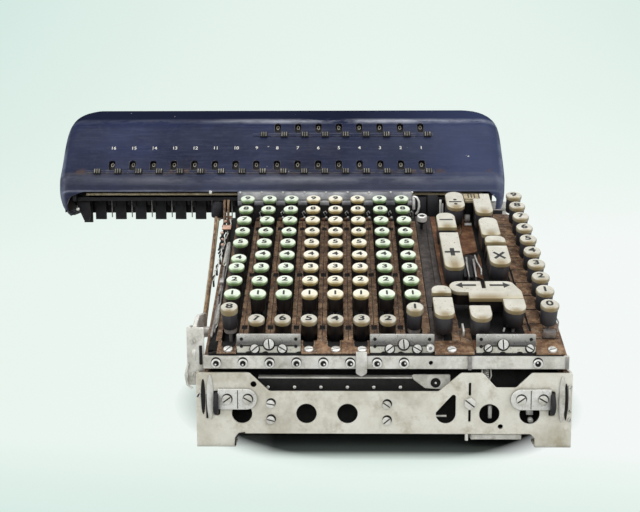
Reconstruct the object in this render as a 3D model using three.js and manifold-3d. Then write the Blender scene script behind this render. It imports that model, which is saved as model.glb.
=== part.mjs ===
// A full-keyboard electromechanical calculating machine with its lower covers off.
// Millimetres, +X to the operator's right, +Y away from the operator, +Z up.
// The machine is laid out from one datum: X = 0 lies midway between the two middle
// keyboard columns, Y = 0 at the front row of digit keys, and Z = 0 on the table.
import * as THREE from 'three';
import { mergeVertices } from 'three/addons/utils/BufferGeometryUtils.js';
import Module from 'manifold-3d';

const wasm = await Module();
wasm.setup();

// Fits, and how far a joined piece reaches into the one that it stands on
const runningGap = 0.35;
const seatGap = 0.3;
const rootOverlap = 0.5;

// Keyboard layout
const columnPitch = 19.05;
const rowPitch = 19.05;
const columnCount = 8;
const rowCount = 9;
const keyboardSlope = THREE.MathUtils.degToRad(22.5);
const frontRowHeight = 105.5;
const keyTravel = 4;

// Digit keys
const capRadius = 6.2;
const capThickness = 2.6;
const barrelRadius = 5.4;
const barrelDepth = 14;
const roundSides = 10;
const stemThickness = 2;
const stemWidth = 6;
const bankBarHeight = 5;
const stuckKeyColumn = 8;
const stuckKeyRow = 4;
const stuckKeyDrop = 3.5;

// Column keys, one in front of each digit column
const columnKeySetback = 22.5;
const columnKeyTop = -7.3;
const columnCapThickness = 3.4;
const columnKeyBarrel = 17.5;
const tallColumnKeyTop = 3;
const tallCapThickness = 5;

// Multiplier keys, in one file at the right; their X is from the edge of the digit field
const multiplierX = 87.3;
const multiplierTop = 3.3;
const multiplierCapRadius = 6.7;
const multiplierCapThickness = 3.5;
const multiplierBarrelRadius = 6;
const multiplierBarrel = 16.2;

// Function keys
const functionKeyTop = 1.5;
const functionCapThickness = 3.5;
const functionBarrelClearance = 0.5;
const functionBarrelInset = 0.9;
const rockerTop = -1.5;

// Keyboard decks; their ends are measured from the last row of digit keys
const deckTop = -20;
const deckThickness = 3;
const channelWidth = 12.2;
const channelDepth = 12;
const channelFloor = 2.2;
const deckFront = -42.5;
const deckFrontLand = 10.5;
const deckBehindKeys = 7.6;
const ribsAheadOfLastRow = 26.4;
const functionDeckShort = 2;
const splitMargin = 2.85;

// Chassis; the frames and plates stand outside the edges of the digit field
const frameThickness = 2.5;
const leftFrameMargin = 7.8;
const rightFrameMargin = 95.8;
const frameFrontY = -31.5;
const frameBehindRail = 16.5;
const frameBottom = 14;
const frameRearTop = 127;
const frameWindowRadius = 15;
const frameWindowRise = 26;
const frameWindowY = [40, 90];
const plateThickness = 2.2;
const plateAhead = 4.5;
const leftPlateMargin = 13.4;
const rightPlateMargin = 101.4;
const footHeight = 9.7;
const footChamfer = 3;
const leftFootRight = -61.6;
const rightFootLeft = 151.8;
const footFlange = 12;
const cornerReturn = 24;
const portRadius = 7.3;
const portHeight = 24.4;
const rearPlateTop = 124;
const rearPlateInset = 3;
const rearKeyPlateTop = 169.5;

// Front rail with its nuts, strap and upright latch plates
const railDrop = 48.5;
const railDepth = 9.5;
const railAbovePlate = 2.6;
const railThickness = 3;
const railFrameGap = 0.5;
const railOverhang = { left: 0.3, right: 3 };
const railNutRadius = 3.9;
const railNutRise = 4;
const railNutOffset = 1.1;
const lastRailNutX = 152.8;
const latchHeight = 15.5;
const latchThickness = 2;
const latchScrewRise = 8;
const latchScrewStep = 3;
const strapLeft = 24.2;
const strapWidth = 7.8;
const strapHang = 5.5;
const strapPoint = 2.5;
const strapStand = 7.5;

// Carriage; it is laid out from the rail that carries it
const carriageSetback = 82.09;
const leftCheekReach = 50;
const rightCheekReach = 77;
const coverWall = 2;
const coverBehindRail = 23;
const coverDrop = 20;
const coverRearDrop = 2.6;
const coverRise = 82.5;
const lowerRidgeAhead = 51;
const lowerRidgeRise = 23;
const upperRidgeAhead = 20;
const upperRidgeRise = 73;
const lipDrop = 14;
const windowWidth = 6;
const windowHeight = 10.2;
const lowerWindowCount = 16;
const upperWindowCount = 8;
const windowOffset = 22.1;
const lowerWindowRise = 11.4;
const upperWindowRise = 50.9;
const dialRadius = 12.5;
const dialWidth = 8;
const dialGap = 1.2;
const dialShaftRadius = 3;
const dialSides = 8;
const markerOffset = 6.3;
const markerSize = 4.2;
const lowerMarkerRise = 4.6;
const upperMarkerRise = 43.4;
const leftEndInset = 17;
const rightEndInset = 15.8;
const endPlateThickness = 3;
const endPlateDrop = 11.5;
const bedAboveRail = 5;
const bedThickness = 3;
const bedBehindRidge = 7;
const combAhead = 22;
const combThickness = 2.5;
const toothWidth = 10;
const toothDepth = 19.6;
const toothOffset = 2.15;
const channelWall = 4;
const channelLip = 3;

// Carriage rail
const carriageRailHeight = 24.7;
const railHeadWidth = 14;
const railHeadHeight = 6;
const railNeckWidth = 4;
const railBaseThickness = 3;
const railEndReach = 4;

// Drive
const gearModule = 2;
const pinionTeeth = 12;
const wheelTeeth = 30;
const gearWidth = 8;
const gearBacklash = 0.35;
const motorInset = 35.5;
const motorZ = 62;
const motorRadius = 26;
const motorLength = 88;
const motorFlangeHalf = 24;
const motorFlangeThickness = 4.5;
const motorBossRadius = 11;
const motorBossLength = 7.2;
const gearStandoff = 6;
const pinionBoreDepth = 14;
const driveShaftRadius = 5;
const driveShaftReach = 2;
const pinionShaftRadius = 4;
const cylinderGap = 1;
const cylinderWidth = 6;
const cylinderOffset = 2;
const cylinderClearance = 10;

// Places that follow from the sizes above
const fieldEdge = (columnCount * columnPitch) / 2;
const lastRow = (rowCount - 1) * rowPitch;
const digitDeckRear = lastRow + deckBehindKeys;
const ribRear = lastRow - ribsAheadOfLastRow;
const functionDeckRear = digitDeckRear - functionDeckShort;
const deckSplit = fieldEdge + splitMargin;
const deckBottom = deckTop - deckThickness;
const channelBottom = deckTop - channelDepth - channelFloor;
const leftFrameX = -fieldEdge - leftFrameMargin;
const rightFrameX = fieldEdge + rightFrameMargin;
const plateLeft = -fieldEdge - leftPlateMargin;
const plateRight = fieldEdge + rightPlateMargin;
const frontPlateY = frameFrontY - plateAhead;
const frontPlateBack = frontPlateY + plateThickness;
const railBottom = frontRowHeight - railDrop;
const railTop = railBottom + railDepth;
const railBack = frameFrontY - railFrameGap;
const railFront = railBack - railThickness;
const plateTop = railBottom - railAbovePlate;
const carriageRailY = keyboardY(digitDeckRear, channelBottom) + carriageSetback;
const railBaseBottom = frameRearTop + seatGap;
const railHeadTop = railBaseBottom + carriageRailHeight;
const railHeadBottom = railHeadTop - railHeadHeight;
const bedBottom = railHeadTop + bedAboveRail;
const bedTop = bedBottom + bedThickness;
const carriageLeft = windowX(lowerWindowCount) - leftCheekReach;
const carriageRight = windowX(1) + rightCheekReach;
const frameLeft = carriageLeft + leftEndInset;
const frameRight = carriageRight - rightEndInset;
const lowerRidge = [carriageRailY - lowerRidgeAhead, bedBottom + lowerRidgeRise];
const upperRidge = [carriageRailY - upperRidgeAhead, bedBottom + upperRidgeRise];
const lipHeight = lowerRidge[1] - lipDrop;
const coverRear = carriageRailY + coverBehindRail;
const coverBottom = bedBottom - coverDrop;
const coverTop = bedBottom + coverRise;
const frameRearY = carriageRailY + frameBehindRail;
const motorY = frameRearY - motorInset;
const motorFace = leftFrameX + frameThickness + seatGap;
const motorBossEnd = motorFace + motorLength + motorBossLength;
const gearX = motorBossEnd + gearStandoff;
const centreDistance = (gearModule * (pinionTeeth + wheelTeeth)) / 2;
const cylinderRadius = centreDistance - motorRadius - cylinderGap;
const driveY = motorY - centreDistance;

// Column 1 is the rightmost one
function columnX(column) {
  return ((columnCount + 1) / 2 - column) * columnPitch;
}

function windowX(index) {
  return columnX(index) + windowOffset;
}

// A point of the sloping keyboard seen from the machine: along it, and out of it
function keyboardY(along, out) {
  return along * Math.cos(keyboardSlope) - out * Math.sin(keyboardSlope);
}

function keyboardZ(along, out) {
  return frontRowHeight + along * Math.sin(keyboardSlope) + out * Math.cos(keyboardSlope);
}

// Colours, roughness and metalness of each finish
function finish(color, roughness, metalness) {
  return () => new THREE.MeshStandardMaterial({ color, roughness, metalness });
}
const nickel = finish(0xc9c4b6, 0.35, 0.9);
const brownSteel = finish(0x6e4f3d, 0.75, 0.5);
const navyEnamel = finish(0x2b3354, 0.3, 0.1);
const blackSteel = finish(0x1d1d20, 0.5, 0.6);
const greenKey = finish(0xc3d6a4, 0.45, 0);
const creamKey = finish(0xe6dfc2, 0.45, 0);
const motorPaint = finish(0x2a2c2e, 0.6, 0.3);

// Solids
function toSolid(geometry) {
  const bare = geometry.clone();
  bare.deleteAttribute('normal');
  bare.deleteAttribute('uv');
  const welded = mergeVertices(bare, 1e-4);
  const index = welded.index.array;
  const triangles = [];
  for (let i = 0; i < index.length; i += 3) {
    const [a, b, c] = [index[i], index[i + 1], index[i + 2]];
    if (a !== b && b !== c && c !== a) triangles.push(a, b, c);
  }
  return new wasm.Manifold(new wasm.Mesh({
    numProp: 3,
    vertProperties: Float32Array.from(welded.attributes.position.array),
    triVerts: Uint32Array.from(triangles),
  }));
}

function join(...solids) {
  return solids.flat().reduce((whole, next) => whole.add(next));
}

function cut(base, ...tools) {
  return tools.flat().reduce((whole, tool) => whole.subtract(tool), base);
}

function block(x0, x1, y0, y1, z0, z1) {
  const box = new THREE.BoxGeometry(x1 - x0, y1 - y0, z1 - z0);
  box.translate((x0 + x1) / 2, (y0 + y1) / 2, (z0 + z1) / 2);
  return toSolid(box);
}

function extrude(points, depth) {
  const shape = new THREE.Shape(points.map(([a, b]) => new THREE.Vector2(a, b)));
  return new THREE.ExtrudeGeometry(shape, { depth, bevelEnabled: false });
}

// An outline in X and Y, raised from z0 to z1
function prismZ(points, z0, z1) {
  const geometry = extrude(points, z1 - z0);
  geometry.translate(0, 0, z0);
  return toSolid(geometry);
}

// A side profile in Y and Z, run from x0 to x1
function prismX(points, x0, x1) {
  const geometry = extrude(points, x1 - x0);
  const turn = new THREE.Matrix4().makeBasis(
    new THREE.Vector3(0, 1, 0), new THREE.Vector3(0, 0, 1), new THREE.Vector3(1, 0, 0));
  geometry.applyMatrix4(turn);
  geometry.translate(x0, 0, 0);
  return toSolid(geometry);
}

// A front outline in X and Z, run from y0 to y1
function prismY(points, y0, y1) {
  const geometry = extrude(points, y1 - y0);
  const turn = new THREE.Matrix4().makeBasis(
    new THREE.Vector3(1, 0, 0), new THREE.Vector3(0, 0, 1), new THREE.Vector3(0, -1, 0));
  geometry.applyMatrix4(turn);
  geometry.translate(0, y1, 0);
  return toSolid(geometry);
}

function rodX(y, z, radius, x0, x1, sides = roundSides) {
  const rod = new THREE.CylinderGeometry(radius, radius, x1 - x0, sides);
  rod.rotateZ(Math.PI / 2);
  rod.translate((x0 + x1) / 2, y, z);
  return toSolid(rod);
}

function rodY(x, z, radius, y0, y1, sides = roundSides) {
  const rod = new THREE.CylinderGeometry(radius, radius, y1 - y0, sides);
  rod.translate(x, (y0 + y1) / 2, z);
  return toSolid(rod);
}

// A turned piece about Z, from radius and height pairs that start and end on the axis
function turned(profile, sides = roundSides) {
  const lathe = new THREE.LatheGeometry(profile.map(([r, z]) => new THREE.Vector2(r, z)), sides);
  lathe.rotateX(Math.PI / 2);
  return toSolid(lathe);
}

function arc(cx, cy, radius, from, to, steps) {
  const points = [];
  for (let i = 0; i <= steps; i++) {
    const angle = THREE.MathUtils.degToRad(from + ((to - from) * i) / steps);
    points.push([cx + radius * Math.cos(angle), cy + radius * Math.sin(angle)]);
  }
  return points;
}

// A rectangle with one corner radius at its front (low) side and one at its rear
function roundedOutline(x0, x1, y0, y1, frontRadius, rearRadius, steps = 3) {
  return [
    ...arc(x1 - frontRadius, y0 + frontRadius, frontRadius, -90, 0, steps),
    ...arc(x1 - rearRadius, y1 - rearRadius, rearRadius, 0, 90, steps),
    ...arc(x0 + rearRadius, y1 - rearRadius, rearRadius, 90, 180, steps),
    ...arc(x0 + frontRadius, y0 + frontRadius, frontRadius, 180, 270, steps),
  ];
}

// Moves every side of a convex anticlockwise outline inwards by the same distance
function inset(points, distance) {
  const count = points.length;
  const lines = points.map(([x, y], i) => {
    const [nx, ny] = points[(i + 1) % count];
    const length = Math.hypot(nx - x, ny - y);
    const [dx, dy] = [(nx - x) / length, (ny - y) / length];
    return { x: x - dy * distance, y: y + dx * distance, dx, dy };
  });
  return lines.map((line, i) => {
    const before = lines[(i + count - 1) % count];
    const cross = before.dx * line.dy - before.dy * line.dx;
    const reach = ((line.x - before.x) * line.dy - (line.y - before.y) * line.dx) / cross;
    return [before.x + before.dx * reach, before.y + before.dy * reach];
  });
}

// Gear outline with straight-flanked teeth
function gearOutline(teeth) {
  const pitchRadius = (gearModule * teeth) / 2;
  const tip = pitchRadius + gearModule * 0.8;
  const root = pitchRadius - gearModule;
  const points = [];
  for (let i = 0; i < teeth; i++) {
    const step = (2 * Math.PI) / teeth;
    const centre = i * step;
    const halfRoot = step * 0.34 - gearBacklash / pitchRadius / 2;
    const halfTip = step * 0.13;
    const corners = [[root, -halfRoot], [tip, -halfTip], [tip, halfTip], [root, halfRoot]];
    for (const [radius, offset] of corners) {
      points.push([radius * Math.cos(centre + offset), radius * Math.sin(centre + offset)]);
    }
  }
  return points;
}

// A gear about an axis along X, turned by its phase
function gearAlongX(teeth, phase, y, z, x0, x1) {
  const geometry = extrude(gearOutline(teeth), x1 - x0);
  geometry.rotateZ(phase);
  const turn = new THREE.Matrix4().makeBasis(
    new THREE.Vector3(0, 1, 0), new THREE.Vector3(0, 0, 1), new THREE.Vector3(1, 0, 0));
  geometry.applyMatrix4(turn);
  geometry.translate(x0, y, z);
  return toSolid(geometry);
}

// Scene graph: the keyboard lies in its own sloping group
const machine = new THREE.Group();
const keyboard = new THREE.Group();
keyboard.position.set(0, 0, frontRowHeight);
keyboard.rotation.x = keyboardSlope;
machine.add(keyboard);

function addPiece(parent, name, solid, material, position = [0, 0, 0]) {
  const { vertProperties, triVerts } = solid.getMesh();
  const geometry = new THREE.BufferGeometry();
  geometry.setAttribute('position', new THREE.BufferAttribute(Float32Array.from(vertProperties), 3));
  geometry.setIndex(new THREE.BufferAttribute(Uint32Array.from(triVerts), 1));
  const mesh = new THREE.Mesh(geometry, material());
  mesh.name = name;
  mesh.position.set(...position);
  parent.add(mesh);
  return mesh;
}

const barTop = channelBottom - keyTravel;
const stemEnd = deckBottom - 2.5 * keyTravel;

// Digit keys: the nine keys of a column hang on one bar below the deck
function digitKey(drop) {
  return turned([
    [0, -barrelDepth],
    [barrelRadius, -barrelDepth],
    [capRadius, -capThickness - drop],
    [capRadius, -drop],
    [0, -drop],
  ]);
}

function digitBank(column) {
  const keys = [];
  const bar = block(-stemThickness / 2, stemThickness / 2,
    -stemWidth / 2, lastRow + stemWidth / 2, barTop - bankBarHeight, barTop);
  for (let row = 0; row < rowCount; row++) {
    const stuck = column === stuckKeyColumn && row + 1 === stuckKeyRow;
    const key = digitKey(stuck ? stuckKeyDrop : 0);
    keys.push(key.translate([0, row * rowPitch, 0]));
    keys.push(block(-stemThickness / 2, stemThickness / 2,
      row * rowPitch - stemWidth / 2, row * rowPitch + stemWidth / 2, barTop, -barrelDepth));
  }
  return join(bar, keys);
}

for (let column = 1; column <= columnCount; column++) {
  const outer = column <= 2 || column >= 6;
  addPiece(keyboard, `digit_bank_${column}`, digitBank(column), outer ? greenKey : creamKey,
    [columnX(column), 0, 0]);
}

// A round key with a barrel and a flat stem below it
function roundKey(capR, capHeight, barrelR, barrelHeight, stemBottom) {
  const body = turned([
    [0, -capHeight - barrelHeight],
    [barrelR, -capHeight - barrelHeight],
    [barrelR, -capHeight],
    [capR, -capHeight],
    [capR, 0],
    [0, 0],
  ]);
  const stem = block(-stemThickness / 2, stemThickness / 2, -stemWidth / 2, stemWidth / 2,
    stemBottom, -capHeight - barrelHeight);
  return join(body, stem);
}

for (let column = 1; column <= columnCount; column++) {
  const tall = column === 1 || column === columnCount;
  const top = tall ? tallColumnKeyTop : columnKeyTop;
  const cap = tall ? tallCapThickness : columnCapThickness;
  const barrel = columnKeyBarrel - cap;
  const key = roundKey(capRadius, cap, barrelRadius, barrel, barTop - top);
  addPiece(keyboard, `column_key_${column}`, key, creamKey, [columnX(column), -columnKeySetback, top]);
}

// Multiplier keys 0 to 9, in line with the digit rows
function multiplierAlong(digit) {
  return (digit - 1) * rowPitch;
}

for (let digit = 0; digit <= rowCount; digit++) {
  const key = roundKey(multiplierCapRadius, multiplierCapThickness, multiplierBarrelRadius,
    multiplierBarrel - multiplierCapThickness, stemEnd - multiplierTop);
  addPiece(keyboard, `multiplier_key_${digit}`, key, creamKey,
    [fieldEdge + multiplierX, multiplierAlong(digit), multiplierTop]);
}

// Function keys: flat shaped caps on inset barrels. Each has its X range from the edge of
// the digit field, its range along the keyboard, and its front and rear corner radii.
const functionKeys = [
  { name: 'divide_key', x: [28.3, 43.7], y: [131, 161.8], radii: [7.6, 7.6] },
  { name: 'clear_key', x: [51.4, 66.4], y: [122.2, 158.4], radii: [7.3, 1.5], step: [57.8, 149] },
  { name: 'minus_key', x: [17.4, 32.8], y: [97.6, 123.2], radii: [0.8, 7] },
  { name: 'plus_key', x: [17.4, 32.8], y: [34, 89.4], radii: [6, 0.8] },
  { name: 'entry_key', x: [51.7, 67], y: [85, 114.9], radii: [3, 6.5] },
  { name: 'repeat_key', x: [53, 69.2], y: [73.2, 84], radii: [0.8, 6] },
  { name: 'times_key', x: [53, 69.2], y: [39, 67.8], radii: [7, 0.8] },
  { name: 'unlock_key', x: [4.2, 18.6], y: [-1.8, 8.7], radii: [0.8, 6.3] },
  { name: 'lock_key', x: [4.2, 18.6], y: [-32, -7.4], radii: [6, 0.8] },
  { name: 'middle_dial_key', x: [29.8, 45.2], y: [-34.4, -16.5], radii: [7.4, 1], top: 0.3 },
  { name: 'upper_dial_key', x: [55.3, 70.9], y: [-24.6, -7.6], radii: [7.6, 1], top: 0.3 },
];

function centreOf(range) {
  return (range[0] + range[1]) / 2;
}

// A cap outline, with a rear corner stepped away where the key asks for it
function functionCap(key, shrink, z0, z1) {
  const cx = centreOf(key.x);
  const cy = centreOf(key.y);
  const [front, rear] = key.radii.map((radius) => Math.max(radius - shrink, 0.3));
  const outline = roundedOutline(key.x[0] - cx + shrink, key.x[1] - cx - shrink,
    key.y[0] - cy + shrink, key.y[1] - cy - shrink, front, rear);
  const cap = prismZ(outline, z0, z1);
  if (!key.step) return cap;
  const [stepX, stepY] = key.step;
  return cut(cap, block(key.x[0] - cx - 1, stepX - cx + shrink,
    stepY - cy - shrink, key.y[1] - cy + 1, z0 - 1, z1 + 1));
}

// A barrel runs into its cap and ends just over the deck when its key is down
for (const key of functionKeys) {
  const top = key.top ?? functionKeyTop;
  const barrelBottom = deckTop + keyTravel + functionBarrelClearance - top;
  const cap = functionCap(key, 0, -functionCapThickness, 0);
  const barrel = functionCap(key, functionBarrelInset, barrelBottom, -functionCapThickness / 2);
  const stem = block(-stemThickness / 2, stemThickness / 2, -stemWidth / 2, stemWidth / 2,
    stemEnd - top, barrelBottom + stemThickness);
  addPiece(keyboard, key.name, join(cap, barrel, stem), creamKey,
    [fieldEdge + centreOf(key.x), centreOf(key.y), top]);
}

// The carriage shift rocker: two arrow lobes behind one front bar, about its own stem
const rockerX = 44.1;
const rockerAlong = 8;
const rockerStemWidth = 8;
const rockerSkirt = 9;
const rocker = {
  lobeLeft: -25.7, bodyLeft: -12.3, bodyRight: 27.3,
  bodyFront: -12.6, lobeFront: -3.8, lobeRear: 11.4,
  shoulderRadius: 9, shoulderSet: 0.5, rightLobeSet: 10, rightLobeRadius: 6,
  notchHalf: 1, notchBottom: 1.5,
};
function rockerOutline(shrink) {
  const lobeRear = rocker.lobeRear - shrink;
  const lobeFront = rocker.lobeFront + shrink;
  const bodyFront = rocker.bodyFront + shrink;
  const bodyLeft = rocker.bodyLeft + shrink;
  const bodyRight = rocker.bodyRight - shrink;
  const lobeLeft = rocker.lobeLeft + shrink;
  const lobeRadius = (lobeRear - lobeFront) / 2;
  const notchHalf = rocker.notchHalf + shrink;
  const notchBottom = rocker.notchBottom - shrink;
  return [
    [bodyLeft, bodyFront],
    [bodyRight, bodyFront],
    ...arc(bodyRight - rocker.shoulderRadius, lobeFront - rocker.shoulderSet,
      rocker.shoulderRadius, 0, 38, 3),
    ...arc(bodyRight - rocker.rightLobeSet, lobeRear - rocker.rightLobeRadius,
      rocker.rightLobeRadius, 20, 90, 4),
    [notchHalf, lobeRear],
    [notchHalf, notchBottom],
    [-notchHalf, notchBottom],
    [-notchHalf, lobeRear],
    ...arc(lobeLeft + lobeRadius, lobeRear - lobeRadius, lobeRadius, 90, 270, 8),
    [bodyLeft, lobeFront],
  ];
}
const rockerBarrelBottom = -functionCapThickness - rockerSkirt;
addPiece(keyboard, 'shift_rocker', join(
  prismZ(rockerOutline(0), -functionCapThickness, 0),
  prismZ(rockerOutline(functionBarrelInset), rockerBarrelBottom, -functionCapThickness),
  block(-rockerStemWidth / 2, rockerStemWidth / 2, -stemThickness / 2, stemThickness / 2,
    stemEnd - rockerTop, rockerBarrelBottom),
), creamKey, [fieldEdge + rockerX, rockerAlong, rockerTop]);

// The small white button at the right of the digit keys
const buttonX = 7.4;
const buttonAlong = 136;
const buttonTop = -8;
const buttonRadius = 4.4;
const buttonHeight = 5;
const buttonEdge = 1;
addPiece(keyboard, 'release_button', join(
  turned([
    [0, -buttonHeight],
    [buttonRadius, -buttonHeight],
    [buttonRadius, -buttonEdge],
    [buttonRadius - buttonEdge, 0],
    [0, 0],
  ]),
  block(-stemThickness / 2, stemThickness / 2, -stemWidth / 2, stemWidth / 2,
    stemEnd - buttonTop, -buttonHeight),
), creamKey, [fieldEdge + buttonX, buttonAlong, buttonTop]);

// Decks: the digit deck is a tray of channels between ribs, the function deck a plate
function stemSlot(x, along, halfX = stemThickness / 2, halfY = stemWidth / 2) {
  return block(x - halfX - runningGap, x + halfX + runningGap,
    along - halfY - runningGap, along + halfY + runningGap, channelBottom - 1, deckTop + 1);
}

const deckLeft = leftFrameX + frameThickness + seatGap;
const deckRight = rightFrameX - seatGap;
const digitDeckRight = deckSplit - seatGap / 2;
const functionDeckLeft = deckSplit + seatGap / 2;

function digitDeck() {
  const floor = block(deckLeft, digitDeckRight, deckFront, digitDeckRear,
    channelBottom, channelBottom + channelFloor);
  const walls = block(deckLeft, digitDeckRight, deckFront, ribRear, channelBottom, deckTop);
  const cuts = [];
  for (let column = 1; column <= columnCount; column++) {
    const x = columnX(column);
    cuts.push(block(x - channelWidth / 2, x + channelWidth / 2,
      deckFront + deckFrontLand, ribRear + 1, channelBottom + channelFloor, deckTop + 1));
    cuts.push(stemSlot(x, lastRow / 2, stemThickness / 2, lastRow / 2 + stemWidth / 2));
    cuts.push(stemSlot(x, -columnKeySetback));
  }
  return cut(join(floor, walls), cuts);
}
addPiece(keyboard, 'digit_deck', digitDeck(), brownSteel);

const functionDeckHoles = [];
for (let digit = 0; digit <= rowCount; digit++) {
  functionDeckHoles.push(stemSlot(fieldEdge + multiplierX, multiplierAlong(digit)));
}
for (const key of functionKeys) {
  functionDeckHoles.push(stemSlot(fieldEdge + centreOf(key.x), centreOf(key.y)));
}
functionDeckHoles.push(
  stemSlot(fieldEdge + rockerX, rockerAlong, rockerStemWidth / 2, stemThickness / 2),
  stemSlot(fieldEdge + buttonX, buttonAlong),
);
addPiece(keyboard, 'function_deck', cut(
  block(functionDeckLeft, deckRight, deckFront, functionDeckRear, deckBottom, deckTop),
  functionDeckHoles,
), brownSteel);

// Side frames: plates that carry the decks between them, the front plate and rail at their
// front edges and the carriage rail on top
const frameFrontDrop = 6;
const frameStepRun = 12;
const frontSeatY = frontPlateBack + seatGap;
const frameTopRear = [keyboardY(functionDeckRear, deckTop), keyboardZ(functionDeckRear, deckTop)];
const sideProfile = [
  [frontSeatY, frameBottom],
  [frameRearY, frameBottom],
  [frameRearY, frameRearTop],
  [frameTopRear[0] + frameStepRun, frameRearTop],
  frameTopRear,
  [frameFrontY, keyboardZ(deckFront, deckTop) - frameFrontDrop],
  [frameFrontY, plateTop],
  [frontSeatY, plateTop],
];
function sideFrame(x) {
  const through = [x - 1, x + frameThickness + 1];
  const bore = rodX(driveY, motorZ, driveShaftRadius + runningGap, ...through);
  const windows = frameWindowY.map(
    (y) => rodX(y, frameBottom + frameWindowRise, frameWindowRadius, ...through));
  return cut(prismX(sideProfile, x, x + frameThickness), bore, windows);
}
addPiece(machine, 'left_frame', sideFrame(leftFrameX), nickel);
addPiece(machine, 'right_frame', sideFrame(rightFrameX), nickel);

// Front plate: a sheet with stepped top, two feet, ports and folded corners
const lugSlotX = { left: -75, right: 163.3 };
const discRadius = 8.2;
const discThickness = 3;
const discHeight = 32.2;
const discClearance = 0.6;
const wideNotch = { bottom: plateTop - 13.6, left: [-51.7, -37.4], right: [83.1, 99] };
const smallNotch = { bottom: plateTop - 10.7, left: [114.1, 123.8], right: [138, 149] };
const frontOutline = [
  [plateLeft, 0],
  [leftFootRight, 0],
  [leftFootRight, footHeight - footChamfer],
  [leftFootRight + footChamfer, footHeight],
  [rightFootLeft - footChamfer, footHeight],
  [rightFootLeft, footHeight - footChamfer],
  [rightFootLeft, 0],
  [plateRight, 0],
  [plateRight, plateTop],
  [smallNotch.right[1], plateTop],
  [smallNotch.right[0], smallNotch.bottom],
  [smallNotch.left[1], smallNotch.bottom],
  [smallNotch.left[0], plateTop],
  [wideNotch.right[1], plateTop],
  [wideNotch.right[0], wideNotch.bottom],
  [wideNotch.left[1], wideNotch.bottom],
  [wideNotch.left[0], plateTop],
  [plateLeft, plateTop],
];
const portX = [-57.1, -11, 18.3, 119.2, 147.8];
const portSides = 12;
const smallHoles = [
  { x: 127.2, z: 15.2, radius: 1.8 },
  { x: -48.7, z: 45.9, radius: 2.2 },
];
const uprightSlots = { x: [104.2, 106], z: [[37.8, 47.3], [18.7, 27.5]] };
const plateScrews = [[-36.6, 31.6], [-36.6, 19.8], [46.1, 31.1], [46.1, 19.3]];
const plateScrewHead = { radius: 3, height: 1.4 };
const hexHead = { x: 105.1, z: 32.6, radius: 4.4, height: 2.4 };
const trianglePort = [
  ...arc(88.2, 24.3, 7.1, 170, 360, 8),
  [95.3, 37],
  [93, 38.6],
  [90.6, 37.4],
];
function foldedCorner(x0, x1) {
  return block(x0, x1, frontPlateBack - rootOverlap, frontPlateBack + cornerReturn, 0, plateTop);
}
function footFlangeBlock(x0, x1) {
  return block(x0, x1, frontPlateBack - rootOverlap, frontPlateBack + footFlange, 0, plateThickness);
}
function discSlot(x, y0, y1) {
  const half = discThickness / 2 + discClearance;
  const reach = discRadius + discClearance;
  return block(x - half, x + half, y0, y1, discHeight - reach, discHeight + reach);
}

// A screw head that stands off a face in front of it
function headY(x, z, { radius, height }, face, sides) {
  return rodY(x, z, radius, face - height, face + rootOverlap, sides);
}
function frontPlate() {
  const through = [frontPlateY - 1, frontPlateBack + 1];
  const body = join(
    prismY(frontOutline, frontPlateY, frontPlateBack),
    footFlangeBlock(plateLeft, leftFootRight),
    footFlangeBlock(rightFootLeft, plateRight),
    foldedCorner(plateLeft, plateLeft + plateThickness),
    foldedCorner(plateRight - plateThickness, plateRight),
  );
  const openings = [
    ...portX.map((x) => rodY(x, portHeight, portRadius, ...through, portSides)),
    ...smallHoles.map(({ x, z, radius }) => rodY(x, z, radius, ...through, 8)),
    ...uprightSlots.z.map(([z0, z1]) => block(...uprightSlots.x, ...through, z0, z1)),
    discSlot(lugSlotX.left, ...through),
    discSlot(lugSlotX.right, ...through),
    prismY(trianglePort, ...through),
  ];
  const heads = [
    ...plateScrews.map(([x, z]) => headY(x, z, plateScrewHead, frontPlateY, 8)),
    headY(hexHead.x, hexHead.z, hexHead, frontPlateY, 6),
  ];
  return join(cut(body, openings), heads);
}
addPiece(machine, 'front_plate', frontPlate(), nickel);

// Lugs: plates with a round inner end and two screws, each with a buffer disc on edge
const lugHeight = 35.5;
const lugRadius = 7.5;
const lugThickness = 2;
const lugScrewHead = { radius: 3.4, height: 1.6 };
const lugs = {
  left: { side: -1, inner: -46.2, screwX: [-67.5, -52.8] },
  right: { side: 1, inner: 133.9, screwX: [141, 156.5] },
};
function lug(name) {
  const { side, inner, screwX } = lugs[name];
  const discX = lugSlotX[name];
  const outer = discX - side * (discThickness / 2 - rootOverlap);
  const centre = inner + side * lugRadius;
  const back = frontPlateY - seatGap;
  const face = back - lugThickness;
  const roundEnd = side < 0
    ? arc(centre, lugHeight, lugRadius, -90, 90, 8)
    : arc(centre, lugHeight, lugRadius, 90, 270, 8);
  const outerEnd = [[outer, lugHeight - side * lugRadius], [outer, lugHeight + side * lugRadius]];
  return join(
    prismY([...roundEnd, ...outerEnd], face, back),
    rodX(frontPlateY, discHeight, discRadius,
      discX - discThickness / 2, discX + discThickness / 2, portSides),
    screwX.map((x) => headY(x, lugHeight, lugScrewHead, face, 10)),
  );
}
addPiece(machine, 'left_lug', lug('left'), nickel);
addPiece(machine, 'right_lug', lug('right'), nickel);

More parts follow.
